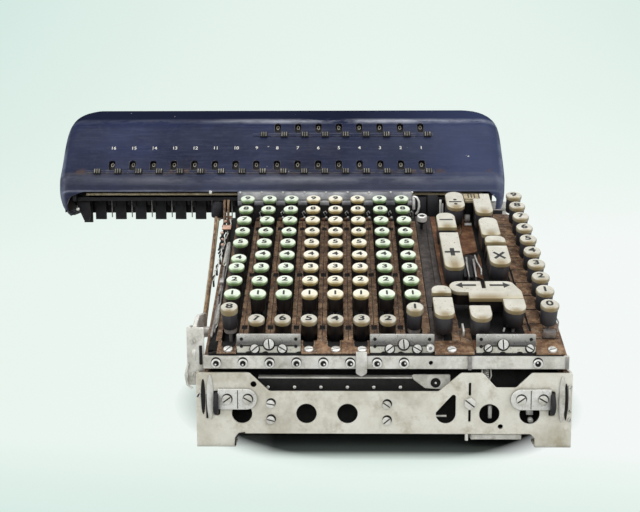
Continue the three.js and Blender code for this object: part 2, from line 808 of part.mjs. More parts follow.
// Rear plate: a plain sheet with two feet and the mains inlet
const vent = { count: 6, first: -50, pitch: 14, width: 5, bottom: 40, top: 84 };
const inlet = { x: [110, 140], z: [30, 52], rim: 3, proud: 3, web: 1.2 };
function rearPlate() {
  const y0 = frameRearY + seatGap;
  const y1 = y0 + plateThickness;
  const left = plateLeft + rearPlateInset;
  const right = plateRight - rearPlateInset;
  const outline = [
    [left, 0],
    [leftFootRight, 0],
    [leftFootRight, footHeight],
    [rightFootLeft, footHeight],
    [rightFootLeft, 0],
    [right, 0],
    [right, rearPlateTop],
    [left, rearPlateTop],
  ];
  const flanges = [[left, leftFootRight], [rightFootLeft, right]].map(
    ([x0, x1]) => block(x0, x1, y0 - footFlange, y0 + rootOverlap, 0, plateThickness));
  const vents = [];
  for (let i = 0; i < vent.count; i++) {
    const x = vent.first + i * vent.pitch;
    vents.push(block(x, x + vent.width, y0 - 1, y1 + 1, vent.bottom, vent.top));
  }
  const [inletLeft, inletRight] = inlet.x;
  const [inletBottom, inletTop] = inlet.z;
  const rim = block(inletLeft, inletRight, y0 + rootOverlap, y1 + inlet.proud, inletBottom, inletTop);
  const well = block(inletLeft + inlet.rim, inletRight - inlet.rim,
    y0 + inlet.web, y1 + inlet.proud + 1, inletBottom + inlet.rim, inletTop - inlet.rim);
  return cut(join(prismY(outline, y0, y1), flanges, rim), vents, well);
}
addPiece(machine, 'rear_plate', rearPlate(), nickel);

// Front rail: the bar across the machine with its nuts, strap and upright latch plates
const railNutHead = { radius: railNutRadius, height: 1.2 };
const latchScrewHead = { radius: 3, height: 1.3 };
const strapProud = 1;
const latchPlates = [
  { x: [-60.4, -15], screws: [-50, -38, -27.5] },
  { x: [34.2, 79.6], screws: [44, 55, 66] },
  { x: [109.2, 151.2], screws: [119, 129, 146] },
];
function latchPlate({ x, screws }) {
  const face = railBack - latchThickness;
  const plate = block(...x, face, railBack, railTop - 1, railTop + latchHeight);
  const heads = screws.map((screwX, i) => headY(
    screwX, railTop + latchScrewRise + (i % 2) * latchScrewStep, latchScrewHead, face, 6));
  return join(plate, heads);
}
function frontRail() {
  const bar = block(leftFrameX - railOverhang.left, rightFrameX + railOverhang.right,
    railFront, railBack, railBottom, railTop);
  const nutX = [lastRailNutX];
  for (let column = 0; column < columnCount; column++) {
    nutX.push(-fieldEdge + railNutOffset + column * columnPitch);
  }
  const nuts = nutX.map((x) => headY(x, railBottom + railNutRise, railNutHead, railFront, 8));
  const strapLow = railBottom - strapHang;
  const strapHigh = railTop + strapStand;
  const strap = prismY([
    [strapLeft, strapLow + strapPoint],
    [strapLeft + strapWidth / 2, strapLow],
    [strapLeft + strapWidth, strapLow + strapPoint],
    [strapLeft + strapWidth, strapHigh],
    [strapLeft, strapHigh],
  ], railFront - strapProud, railFront + rootOverlap);
  return join(bar, nuts, latchPlates.map(latchPlate), strap);
}
addPiece(machine, 'front_rail', frontRail(), nickel);

// Rear key plate: the nickel angle behind the last digit row
const keyPlateThickness = 2;
const keyPlateMargin = 1.3;
const keyPlateShelf = 11;
const keyPlateEar = { reach: 5, bottom: -26.5, top: -6.5 };
function rearKeyPlate() {
  const y0 = keyboardY(digitDeckRear, channelBottom) + runningGap;
  const y1 = y0 + keyPlateThickness;
  const foot = keyboardZ(digitDeckRear, channelBottom);
  const halfWidth = fieldEdge + keyPlateMargin;
  const halfReach = fieldEdge + keyPlateEar.reach;
  const sheet = block(-halfWidth, halfWidth, y0, y1, foot, rearKeyPlateTop);
  const shelf = block(-halfWidth, halfWidth, y0 + rootOverlap, y1 + keyPlateShelf,
    rearKeyPlateTop - keyPlateThickness, rearKeyPlateTop);
  const ears = block(-halfReach, halfReach, y0, y1,
    rearKeyPlateTop + keyPlateEar.bottom, rearKeyPlateTop + keyPlateEar.top);
  return join(sheet, shelf, ears);
}
addPiece(machine, 'rear_key_plate', rearKeyPlate(), nickel);

// Left side link: a long rod beside the keyboard with the shift arm at its front end.
// The arm's profile and the rod's ends are in Y and Z.
const armThickness = 3;
const armProfile = [
  [-30, 44], [-20, 40], [0, 60], [34, 74], [34, 84], [-6, 90], [-24, 86], [-32, 68],
];
const armPivot = { y: 10, z: 74, radius: 4 };
const linkRod = { radius: 2, front: [25, 76], rear: [152, 147], rearOffset: 4.6 };
const linkHead = { radius: 5.5, height: 16, rise: 5 };
function sideLink() {
  const armRight = plateLeft - seatGap;
  const start = new THREE.Vector3(armRight - 1, ...linkRod.front);
  const end = new THREE.Vector3(armRight - linkRod.rearOffset, ...linkRod.rear);
  const along = new THREE.Vector3().subVectors(end, start);
  const rod = new THREE.CylinderGeometry(linkRod.radius, linkRod.radius, along.length(), 8);
  rod.applyQuaternion(new THREE.Quaternion().setFromUnitVectors(
    new THREE.Vector3(0, 1, 0), along.clone().normalize()));
  const middle = start.clone().add(end).multiplyScalar(0.5);
  rod.translate(middle.x, middle.y, middle.z);
  const head = new THREE.CylinderGeometry(linkHead.radius, linkHead.radius, linkHead.height, roundSides);
  head.rotateX(Math.PI / 2);
  head.translate(end.x, end.y, end.z + linkHead.rise);
  return join(
    prismX(armProfile, armRight - armThickness, armRight),
    rodX(armPivot.y, armPivot.z, armPivot.radius, armRight - rootOverlap, leftFrameX - seatGap),
    toSolid(rod),
    toSolid(head),
  );
}
addPiece(machine, 'side_link', sideLink(), blackSteel);

// Carriage rail: a T-section bar on top of the side frames
function carriageRail() {
  const halfHead = railHeadWidth / 2;
  const halfNeck = railNeckWidth / 2;
  const y = carriageRailY;
  const profile = [
    [y - halfHead, railBaseBottom],
    [y + halfHead, railBaseBottom],
    [y + halfHead, railBaseBottom + railBaseThickness],
    [y + halfNeck, railBaseBottom + railBaseThickness],
    [y + halfNeck, railHeadBottom],
    [y + halfHead, railHeadBottom],
    [y + halfHead, railHeadTop],
    [y - halfHead, railHeadTop],
    [y - halfHead, railHeadBottom],
    [y - halfNeck, railHeadBottom],
    [y - halfNeck, railBaseBottom + railBaseThickness],
    [y - halfHead, railBaseBottom + railBaseThickness],
  ];
  return prismX(profile, leftFrameX - railEndReach, rightFrameX + frameThickness);
}
addPiece(machine, 'carriage_rail', carriageRail(), nickel);

// Carriage cover: a side profile crossed with a front outline, hollowed to a wall
const coverFoot = coverBottom - 1;
const coverCrown = coverTop + 0.5;
const coverSide = [
  [lowerRidge[0] - 2, lipHeight],
  [lowerRidge[0] - 1.4, lipHeight - 8],
  [lowerRidge[0] + 4, coverBottom + 9],
  [lowerRidge[0] + 14, coverBottom],
  [coverRear - 4, coverBottom],
  [coverRear, coverBottom + 13],
  [coverRear, coverTop - 13.5],
  [coverRear - 2.5, coverTop - 5.5],
  [coverRear - 10, coverTop - 0.3],
  [upperRidge[0] + 20, coverTop],
  [upperRidge[0] + 9, coverTop - 2.5],
  upperRidge,
  lowerRidge,
];
const coverFront = [
  [carriageLeft + 6.8, coverFoot],
  [carriageRight - 4.8, coverFoot],
  [carriageRight - 1.3, coverFoot + 14],
  [carriageRight, coverFoot + 39],
  [carriageRight - 0.8, coverFoot + 62],
  [carriageRight - 2.8, coverCrown - 20],
  [carriageRight - 7.8, coverCrown - 8.5],
  [carriageRight - 15.8, coverCrown - 2],
  [carriageRight - 25.8, coverCrown],
  [carriageLeft + 21, coverCrown],
  [carriageLeft + 12, coverCrown - 4],
  [carriageLeft + 6, coverCrown - 13],
  [carriageLeft + 2.4, coverCrown - 26],
  [carriageLeft + 1, coverFoot + 54],
  [carriageLeft, coverFoot + 32],
  [carriageLeft + 1.6, coverFoot + 14],
];
const coverSlope = Math.atan2(upperRidge[1] - lowerRidge[1], upperRidge[0] - lowerRidge[0]);
const slopeUp = [Math.cos(coverSlope), Math.sin(coverSlope)];
const slopeOut = [-Math.sin(coverSlope), Math.cos(coverSlope)];

// A point on the sloping face: its rise above the lower ridge, and its height off the face
function facePoint(rise, off = 0) {
  return [
    lowerRidge[0] + slopeUp[0] * rise + slopeOut[0] * off,
    lowerRidge[1] + slopeUp[1] * rise + slopeOut[1] * off,
  ];
}

// A box that lies along the sloping face
function faceBlock(x0, x1, rise0, rise1, off0, off1) {
  return prismX([
    facePoint(rise0, off0),
    facePoint(rise0, off1),
    facePoint(rise1, off1),
    facePoint(rise1, off0),
  ].reverse(), x0, x1);
}

function coverShell(wall) {
  const side = wall > 0 ? inset(coverSide, wall) : coverSide;
  const front = wall > 0 ? inset(coverFront, wall) : coverFront;
  const depth = [lowerRidge[0] - 12, coverRear + 12];
  return prismX(side, carriageLeft - 1, carriageRight + 1).intersect(prismY(front, ...depth));
}

const coverOpeningInset = 4;
const passageHalf = coverBehindRail - 2 * coverWall;
const lipLeft = carriageLeft + 13;
const lipRight = carriageRight - 8.8;
function carriageCover() {
  const outside = coverShell(0);
  const inside = coverShell(coverWall);
  const below = coverBottom - 7;
  const opening = block(carriageLeft + coverOpeningInset, carriageRight - coverOpeningInset,
    lowerRidge[0] + 5, coverRear - coverOpeningInset, below, coverBottom + 5);
  const lipOpening = prismY([
    [lipLeft, below],
    [lipRight, below],
    [lipRight, lipHeight - 7],
    [lipRight - 7, lipHeight],
    [lipLeft + 16, lipHeight],
    [lipLeft + 6, lipHeight - 6],
    [lipLeft, lipHeight - 18],
  ], lowerRidge[0] - 12, lowerRidge[0] + 23);
  const railPassage = block(frameLeft, carriageRight + 1,
    carriageRailY - passageHalf, carriageRailY + passageHalf, below, bedBottom);
  // The rear wall ends just under the bed, so light shows between the teeth of the comb
  const rearOpening = block(carriageLeft + coverOpeningInset, carriageRight - coverOpeningInset,
    coverRear - coverOpeningInset - 1, coverRear + 1, below, bedBottom - coverRearDrop);
  const windows = [];
  for (let i = 1; i <= lowerWindowCount; i++) {
    windows.push(windowCut(i, lowerWindowRise));
    if (i <= upperWindowCount) windows.push(windowCut(i, upperWindowRise));
  }
  return cut(outside, inside, opening, lipOpening, railPassage, rearOpening, windows);
}

function windowCut(index, rise) {
  const x = windowX(index);
  return faceBlock(x - windowWidth / 2, x + windowWidth / 2,
    rise - windowHeight / 2, rise + windowHeight / 2, -coverWall - 1, 1);
}
addPiece(machine, 'carriage_cover', carriageCover(), navyEnamel);

// Dials: one wheel behind each window, on a common shaft in the carriage end plates
function dialAxis(rise) {
  return facePoint(rise, -(coverWall + dialGap + dialRadius));
}

function dialRow(count, rise) {
  const [y, z] = dialAxis(rise);
  const profile = [[0, frameLeft - endPlateThickness], [dialShaftRadius, frameLeft - endPlateThickness]];
  for (let i = count; i >= 1; i--) {
    const [near, far] = [windowX(i) - dialWidth / 2, windowX(i) + dialWidth / 2];
    profile.push([dialShaftRadius, near], [dialRadius, near], [dialRadius, far], [dialShaftRadius, far]);
  }
  profile.push([dialShaftRadius, frameRight + endPlateThickness], [0, frameRight + endPlateThickness]);
  return turned(profile, dialSides).rotate([0, 90, 0]).translate([0, y, z]);
}
addPiece(machine, 'lower_dials', dialRow(lowerWindowCount, lowerWindowRise), blackSteel);
addPiece(machine, 'upper_dials', dialRow(upperWindowCount, upperWindowRise), blackSteel);

// Decimal markers: small sliders on a strip just below each row of windows
const markerStripThickness = 0.8;
const markerHeight = 2.2;
const markerStripMargin = 4;
function markerStrip(count, rise) {
  const stripTop = seatGap + markerStripThickness;
  const markerTop = seatGap + markerHeight;
  const first = windowX(count) - markerStripMargin;
  const last = windowX(1) + markerOffset + markerStripMargin + 1;
  const outline = [[first, seatGap], [last, seatGap], [last, stripTop]];
  for (let i = 1; i <= count; i++) {
    const x = windowX(i) + markerOffset;
    outline.push([x + markerSize / 2, stripTop], [x + markerSize / 2, markerTop]);
    outline.push([x - markerSize / 2, markerTop], [x - markerSize / 2, stripTop]);
  }
  outline.push([first, stripTop]);
  const comb = extrude(outline, markerSize);
  const [baseY, baseZ] = facePoint(rise + markerSize / 2);
  comb.applyMatrix4(new THREE.Matrix4().makeBasis(
    new THREE.Vector3(1, 0, 0),
    new THREE.Vector3(0, ...slopeOut),
    new THREE.Vector3(0, -slopeUp[0], -slopeUp[1])));
  comb.translate(0, baseY, baseZ);
  return toSolid(comb);
}
addPiece(machine, 'lower_markers', markerStrip(lowerWindowCount + 1, lowerMarkerRise), nickel);
addPiece(machine, 'upper_markers', markerStrip(upperWindowCount + 1, upperMarkerRise), nickel);

// Carriage frame: bed, end plates, toothed comb and the channel that runs on the rail
const combBracket = { width: 8, drop: 22.5 };
const combRoot = 2;
function carriageFrame() {
  const half = railHeadWidth / 2 + runningGap;
  const outer = half + channelWall;
  const neck = railNeckWidth / 2 + runningGap;
  const lipTop = railHeadBottom - runningGap;
  const lipBottom = lipTop - channelLip;
  const y = carriageRailY;
  const channel = prismX([
    [y - outer, lipBottom],
    [y - neck, lipBottom],
    [y - neck, lipTop],
    [y - half, lipTop],
    [y - half, railHeadTop + runningGap],
    [y + half, railHeadTop + runningGap],
    [y + half, lipTop],
    [y + neck, lipTop],
    [y + neck, lipBottom],
    [y + outer, lipBottom],
    [y + outer, bedTop],
    [y - outer, bedTop],
  ], frameLeft, frameRight);
  const bed = block(frameLeft, frameRight, lowerRidge[0] + bedBehindRidge, y + outer, bedBottom, bedTop);
  const plateOutline = inset(coverSide, coverWall + seatGap);
  const ends = [frameLeft - endPlateThickness, frameRight].map((x) => {
    const limit = block(x - 1, x + endPlateThickness + 1, lowerRidge[0] - 2, y + outer,
      bedBottom, coverTop - endPlateDrop);
    return prismX(plateOutline, x, x + endPlateThickness).intersect(limit);
  });
  const bores = [lowerWindowRise, upperWindowRise].map((rise) => rodX(
    ...dialAxis(rise), dialShaftRadius + runningGap,
    frameLeft - 2 * endPlateThickness, frameRight + 2 * endPlateThickness));
  const combFront = carriageRailY - combAhead;
  const comb = [combFront, combFront + combThickness];
  const teeth = [block(frameLeft, frameRight, ...comb, bedBottom - combRoot, bedBottom + rootOverlap)];
  for (let x = windowX(lowerWindowCount + 1) + toothOffset; x < frameRight - toothWidth; x += columnPitch) {
    teeth.push(block(x - toothWidth / 2, x + toothWidth / 2, ...comb, bedBottom - toothDepth, bedBottom));
  }
  const bracket = block(frameLeft, frameLeft + combBracket.width, ...comb,
    bedBottom - combBracket.drop, bedBottom);
  return join(cut(join(bed, ends), bores), channel, teeth, bracket);
}
addPiece(machine, 'carriage_frame', carriageFrame(), blackSteel);

// Drive: motor, pinion and the drive shaft with its wheel and actuating cylinders
const shaftSides = 12;
function motor() {
  const flangeEnd = motorFace + motorFlangeThickness;
  const bodyEnd = motorFace + motorLength;
  const body = rodX(motorY, motorZ, motorRadius, flangeEnd - rootOverlap, bodyEnd, 20);
  const flange = block(motorFace, flangeEnd, motorY - motorFlangeHalf, motorY + motorFlangeHalf,
    motorZ - motorFlangeHalf, motorZ + motorFlangeHalf);
  const boss = rodX(motorY, motorZ, motorBossRadius, bodyEnd - rootOverlap, motorBossEnd, shaftSides);
  const bore = rodX(motorY, motorZ, pinionShaftRadius + runningGap,
    motorBossEnd - pinionBoreDepth, motorBossEnd + 1, shaftSides);
  return cut(join(body, flange, boss), bore);
}
addPiece(machine, 'motor', motor(), motorPaint);

addPiece(machine, 'motor_pinion', join(
  gearAlongX(pinionTeeth, Math.PI / pinionTeeth, motorY, motorZ, gearX, gearX + gearWidth),
  rodX(motorY, motorZ, pinionShaftRadius,
    motorBossEnd - pinionBoreDepth + 1, gearX + rootOverlap, shaftSides),
), nickel);

function driveShaft() {
  const shaft = rodX(driveY, motorZ, driveShaftRadius,
    leftFrameX - driveShaftReach, rightFrameX + frameThickness + driveShaftReach, shaftSides);
  const wheel = gearAlongX(wheelTeeth, 0, driveY, motorZ, gearX, gearX + gearWidth);
  const clearFrom = gearX - cylinderClearance;
  const clearTo = gearX + gearWidth + cylinderClearance;
  const cylinders = [];
  for (let column = 1; column <= columnCount; column++) {
    const x = columnX(column) + cylinderOffset;
    if (x > clearFrom && x < clearTo) continue;
    cylinders.push(rodX(driveY, motorZ, cylinderRadius, x - cylinderWidth / 2, x + cylinderWidth / 2, 8));
  }
  return join(shaft, wheel, cylinders);
}
addPiece(machine, 'drive_shaft', driveShaft(), nickel);

// The handed-over part stands with its origin on the table below the middle of its box
const part = new THREE.Group();
const bounds = new THREE.Box3().setFromObject(machine, true);
machine.position.set(-(bounds.min.x + bounds.max.x) / 2, -(bounds.min.y + bounds.max.y) / 2, -bounds.min.z);
part.add(machine);

export default part;
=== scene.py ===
# Looks of the calculating machine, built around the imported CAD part.
# Sizes are millimetres in the machine's own datum frame: X = 0 between columns 4 and 5,
# Y = 0 at the front row of digit keys and Z = 0 on the table.
import math
import random

import bmesh
import bpy
from mathutils import Matrix, Vector
from mathutils.geometry import tessellate_polygon


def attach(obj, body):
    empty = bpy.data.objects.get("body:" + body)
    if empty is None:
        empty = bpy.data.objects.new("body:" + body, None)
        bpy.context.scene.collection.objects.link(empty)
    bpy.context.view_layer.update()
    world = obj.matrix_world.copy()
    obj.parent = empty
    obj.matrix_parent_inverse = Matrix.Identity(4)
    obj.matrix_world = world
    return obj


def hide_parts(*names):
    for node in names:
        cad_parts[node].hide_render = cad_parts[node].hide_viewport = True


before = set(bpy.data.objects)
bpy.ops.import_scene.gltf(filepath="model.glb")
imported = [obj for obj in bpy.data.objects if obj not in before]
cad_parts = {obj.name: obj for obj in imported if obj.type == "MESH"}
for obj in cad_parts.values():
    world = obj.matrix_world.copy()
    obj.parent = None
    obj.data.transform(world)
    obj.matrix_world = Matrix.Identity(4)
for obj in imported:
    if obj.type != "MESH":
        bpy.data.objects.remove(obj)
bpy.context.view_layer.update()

# Frames
KEY_SLOPE = 22.5
KEYBOARD_RISE = 105.5
FACE_SLOPE = math.atan2(50, 31)
PITCH = 19.05
FIELD_EDGE = 4 * PITCH
LAST_ROW = 8 * PITCH
RIDGE_Y = 192
RIDGE_Z = 180
WINDOW_SHIFT = 22.1


def spin(angle, axis="Z"):
    """A turn about an axis, in degrees"""
    return Matrix.Rotation(math.radians(angle), 4, axis)


def shifted(x, y, z):
    return Matrix.Translation((x, y, z))


DATUM = Matrix.Scale(0.001, 4) @ shifted(34.6875, -110.8995, 0)
KEYBOARD = DATUM @ shifted(0, 0, KEYBOARD_RISE) @ spin(KEY_SLOPE, "X")
COVER_FACE = DATUM @ shifted(0, RIDGE_Y, RIDGE_Z) @ Matrix.Rotation(FACE_SLOPE, 4, "X")


def on_keys(x, along, out=0, turn=0):
    """A frame on the keyboard: its Z points out of the keys"""
    return KEYBOARD @ shifted(x, along, out) @ spin(turn)


def on_front(x, y, z, turn=0):
    """A frame on an upright face: its X is X, its Y is up and its Z points to the operator"""
    return DATUM @ shifted(x, y, z) @ spin(90, "X") @ spin(turn)


def on_rear(x, y, z, turn=0):
    """The same for a face that looks to the rear"""
    return DATUM @ shifted(x, y, z) @ spin(180) @ spin(90, "X") @ spin(turn)


def on_side(x, y, z, sign, turn=0):
    """A frame on a side face: its Z points to the left (sign -1) or to the right (sign 1)"""
    return DATUM @ shifted(x, y, z) @ spin(sign * 90) @ spin(90, "X") @ spin(turn)


def column_x(column):
    return (4.5 - column) * PITCH


def window_x(index):
    return column_x(index) + WINDOW_SHIFT


# Outlines
def arc(cx, cy, radius, start, end, steps):
    points = []
    for i in range(steps + 1):
        angle = math.radians(start + (end - start) * i / steps)
        points.append((cx + radius * math.cos(angle), cy + radius * math.sin(angle)))
    return points


def circle(cx, cy, radius, steps=24):
    return arc(cx, cy, radius, 0, 360 - 360 / steps, steps - 1)


def rectangle(x0, x1, y0, y1, front=0.5, rear=None, steps=3):
    """An anticlockwise rectangle with its own corner radius at the front and at the rear"""
    rear = front if rear is None else rear
    return [
        *arc(x1 - front, y0 + front, front, -90, 0, steps),
        *arc(x1 - rear, y1 - rear, rear, 0, 90, steps),
        *arc(x0 + rear, y1 - rear, rear, 90, 180, steps),
        *arc(x0 + front, y0 + front, front, 180, 270, steps),
    ]


def inset(points, distance):
    """An anticlockwise outline moved inwards"""
    moved = []
    for i, point in enumerate(points):
        here = Vector(point)
        before = (here - Vector(points[i - 1])).normalized()
        after = (Vector(points[(i + 1) % len(points)]) - here).normalized()
        normal = Vector((-before.y, before.x)) + Vector((-after.y, after.x))
        normal /= max(1 + before.dot(after), 0.25)
        moved.append(tuple(here + normal * distance))
    return moved


def filleted(points, radii, steps=5):
    """Rounds the corners of an outline; one radius, or one for each corner"""
    radii = radii if isinstance(radii, (list, tuple)) else [radii] * len(points)
    rounded = []
    for i, (point, radius) in enumerate(zip(points, radii)):
        here = Vector(point)
        to_before = Vector(points[i - 1]) - here
        to_after = Vector(points[(i + 1) % len(points)]) - here
        half = to_before.angle(to_after) / 2
        reach = min(radius / math.tan(half), to_before.length * 0.49, to_after.length * 0.49)
        if reach < 0.05:
            rounded.append(tuple(here))
            continue
        start = here + to_before.normalized() * reach
        end = here + to_after.normalized() * reach
        for k in range(steps + 1):
            t = k / steps
            rounded.append(tuple(start * (1 - t) ** 2 + here * 2 * t * (1 - t) + end * t ** 2))
    return rounded


def clipped(points, value, above):
    """The part of a convex outline above or below a height"""
    kept = []
    for i, point in enumerate(points):
        before = points[i - 1]
        inside = (point[1] >= value) == above
        if ((before[1] >= value) == above) != inside:
            t = (value - before[1]) / (point[1] - before[1])
            kept.append((before[0] + (point[0] - before[0]) * t, value))
        if inside:
            kept.append(point)
    return kept


def edge_profile(low, high, bevel, steps=2):
    """Inset and height pairs that round the lower and upper edge of a slab"""
    if bevel <= 0:
        return [(0, low), (0, high)]
    turns = [math.pi / 2 * i / steps for i in range(steps + 1)]
    lower = [(bevel * (1 - math.sin(t)), low + bevel * (1 - math.cos(t))) for t in turns]
    upper = [(bevel * (1 - math.cos(t)), high - bevel * (1 - math.sin(t))) for t in turns]
    return lower + upper


glyphs = {}


def glyph(text, size, weight, depth):
    """The mesh of a word in the built-in font, made once"""
    key = (text, size, weight, depth)
    if key not in glyphs:
        curve = bpy.data.curves.new("glyph", "FONT")
        curve.body = text
        curve.size = size
        curve.align_x = "CENTER"
        curve.align_y = "CENTER"
        curve.extrude = depth / 2
        curve.offset = weight
        curve.resolution_u = 4
        holder = bpy.data.objects.new("glyph", curve)
        bpy.context.scene.collection.objects.link(holder)
        graph = bpy.context.evaluated_depsgraph_get()
        glyphs[key] = bpy.data.meshes.new_from_object(holder.evaluated_get(graph))
        bpy.data.objects.remove(holder)
    return glyphs[key]


class Shape:
    """A mesh in the making; every part is given in a local frame in millimetres"""

    def __init__(self):
        self.mesh = bmesh.new()
        self.slots = []
        self.unit = self.mesh.loops.layers.uv.new("unit")

    def rings(self, rings, at=DATUM, caps=True):
        """A skin over rings of points, each as long as the next"""
        rows = [[self.mesh.verts.new(at @ Vector(point)) for point in ring] for ring in rings]
        count = len(rows[0])
        for low, high in zip(rows, rows[1:]):
            for i in range(count):
                j = (i + 1) % count
                self.mesh.faces.new((low[i], low[j], high[j], high[i]))
        if caps:
            self.mesh.faces.new(rows[0][::-1])
            self.mesh.faces.new(rows[-1])
        return rows

    def turned(self, profile, at, sides=24):
        """A turned piece about the frame's Z, from radius and height pairs"""
        angles = [2 * math.pi * i / sides for i in range(sides)]
        self.rings([[(r * math.cos(a), r * math.sin(a), z) for a in angles] for r, z in profile], at)

    def slab(self, outline, low, high, at=DATUM, bevel=0.3, steps=2):
        """An outline raised from low to high with rounded edges"""
        levels = edge_profile(low, high, bevel, steps)
        self.rings([[(x, y, z) for x, y in inset(outline, d)] for d, z in levels], at)

    def box(self, x, y, z, at=DATUM, bevel=0.3):
        """A box with rounded edges"""
        self.slab(rectangle(*x, *y, max(bevel, 0.05), steps=2), *z, at, bevel)

    def sheet(self, outline, holes, low, high, at, bevel=0.25):
        """A plate with holes and rounded edges"""
        levels = edge_profile(low, high, bevel, 1)
        tops, bottoms = [], []
        for loop in [outline] + [hole[::-1] for hole in holes]:
            rings = [[(x, y, z) for x, y in inset(loop, d)] for d, z in levels]
            rows = self.rings(rings, at, caps=False)
            bottoms.append((rings[0], rows[0]))
            tops.append((rings[-1], rows[-1]))
        for side in (tops, bottoms):
            vertices = [vertex for _, row in side for vertex in row]
            loops = [[Vector(point) for point in ring] for ring, _ in side]
            for triangle in tessellate_polygon(loops):
                try:
                    self.mesh.faces.new([vertices[i] for i in triangle])
                except ValueError:
                    continue

    def rod(self, points, radius, at=DATUM, sides=10, end_bevel=0.25):
        """A round bar along a path; radius is one number or one for each point"""
        path = [Vector(point) for point in points]
        count = len(path)
        radii = list(radius) if isinstance(radius, (list, tuple)) else [radius] * count
        side = None
        rings = []
        for i, point in enumerate(path):
            along = (path[min(i + 1, count - 1)] - path[max(i - 1, 0)]).normalized()
            if side is None:
                side = along.orthogonal().normalized()
            side = (side - along * side.dot(along)).normalized()
            other = along.cross(side)
            around = [2 * math.pi * k / sides for k in range(sides)]
            scales = [(0, 1)]
            if i == 0:
                scales = [(0, 1 - end_bevel), (end_bevel, 1)]
            elif i == count - 1:
                scales = [(-end_bevel, 1), (0, 1 - end_bevel)]
            for shift, scale in scales:
                centre = point + along * radii[i] * shift
                rings.append([centre + (side * math.cos(a) + other * math.sin(a)) * radii[i] * scale
                    for a in around])
        self.rings(rings, at)

    def coil(self, start, end, radius, wire, turns, at=DATUM, hooks=0):
        """A wound spring between two points, with straight hooks at its ends"""
        start, end = Vector(start), Vector(end)
        along = (end - start).normalized()
        side = along.orthogonal().normalized()
        other = along.cross(side)
        body = (end - start).length - 2 * hooks
        points = [start] if hooks else []
        steps = int(turns * 10)
        for i in range(steps + 1):
            angle = 2 * math.pi * turns * i / steps
            out = side * math.cos(angle) + other * math.sin(angle)
            points.append(start + along * (hooks + body * i / steps) + out * radius)
        if hooks:
            points.append(end)
        self.rod(points, wire, at, 6)

    def screw(self, at, radius, height, slot=0.8, washer=0, outline=None):
        """A slotted screw head, round unless an outline is given; the frame's Z points out of it"""
        outline = outline or circle(0, 0, radius, 20)
        if washer:
            self.slab(circle(0, 0, washer, 24), 0, 0.5, at, 0.15, 1)
        depth = min(height * 0.5, 0.7)
        self.slab(outline, 0, height - depth, at, 0, 1)
        for above, edge in ((True, slot / 2), (False, -slot / 2)):
            self.slab(clipped(outline, edge, above), height - depth, height, at, 0.2, 2)
        self.slots.append((at, radius * 0.92, slot / 2, height - depth + 0.1))

    def text(self, words, size, at, weight=0.02, depth=0.16, wide=1.0):
        """Raised figures, centred on the frame's origin"""
        copy = glyph(words, size, weight, depth).copy()
        copy.transform(at @ Matrix.Diagonal((wide, 1, 1, 1)))
        self.mesh.from_mesh(copy)
        bpy.data.meshes.remove(copy)

    def from_object(self, thing):
        """Takes over an object's mesh with its modifiers, and removes the object"""
        graph = bpy.context.evaluated_depsgraph_get()
        made = bpy.data.meshes.new_from_object(thing.evaluated_get(graph))
        self.mesh.from_mesh(made)
        bpy.data.meshes.remove(made)
        bpy.data.objects.remove(thing)

    def slot_floors(self):
        """The floors of the slots of this shape's screws, painted dark as shade, as a shape of their own"""
        floors = Shape()
        for at, reach, half, level in self.slots:
            floors.box((-reach, reach), (-half, half), (level - 0.3, level), at, 0)
        return floors

    def bare_object(self, name):
        """An object of the mesh as it stands, for a boolean"""
        bmesh.ops.recalc_face_normals(self.mesh, faces=self.mesh.faces)
        data = bpy.data.meshes.new(name)
        self.mesh.to_mesh(data)
        self.mesh.free()
        thing = bpy.data.objects.new(name, data)
        bpy.context.scene.collection.objects.link(thing)
        return thing

    def piece(self, name, material, replaces=(), body="chassis", slot=None, sharp=32):
        """The finished object, riding on its body; the slot, its look's unless one is given, is worked out
        but not used
        """
        slot = slot or SLOTS[material.name]
        bmesh.ops.recalc_face_normals(self.mesh, faces=self.mesh.faces)
        limit = math.radians(sharp)
        for edge in self.mesh.edges:
            edge.smooth = len(edge.link_faces) == 2 and edge.calc_face_angle(0) < limit
        for face in self.mesh.faces:
            face.smooth = True
        thing = self.bare_object(name)
        thing.data.materials.append(material)
        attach(thing, body)
        if replaces:
            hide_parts(*replaces)
        return thing


def shapes(count):
    """So many new shapes"""
    return [Shape() for _ in range(count)]


def pieces(prefix, looks, replaces=(), body="chassis"):
    """Finishes several shapes whose names start alike, each with its look"""
    for ending, (shape, look) in looks.items():
        shape.piece(f"{prefix}_{ending}", look, replaces, body)


def boxes(at, rows):
    """Boxes in one frame; each row holds a shape, the X, Y and Z range and the edge radius"""
    for shape, x, y, z, bevel in rows:
        shape.box(x, y, z, at, bevel)


# Materials
def linear(code):
    """A colour written as six hexadecimal digits, in linear light"""
    channels = [int(code[i:i + 2], 16) / 255 for i in (0, 2, 4)]
    return [c / 12.92 if c <= 0.04045 else ((c + 0.055) / 1.055) ** 2.4 for c in channels] + [1]


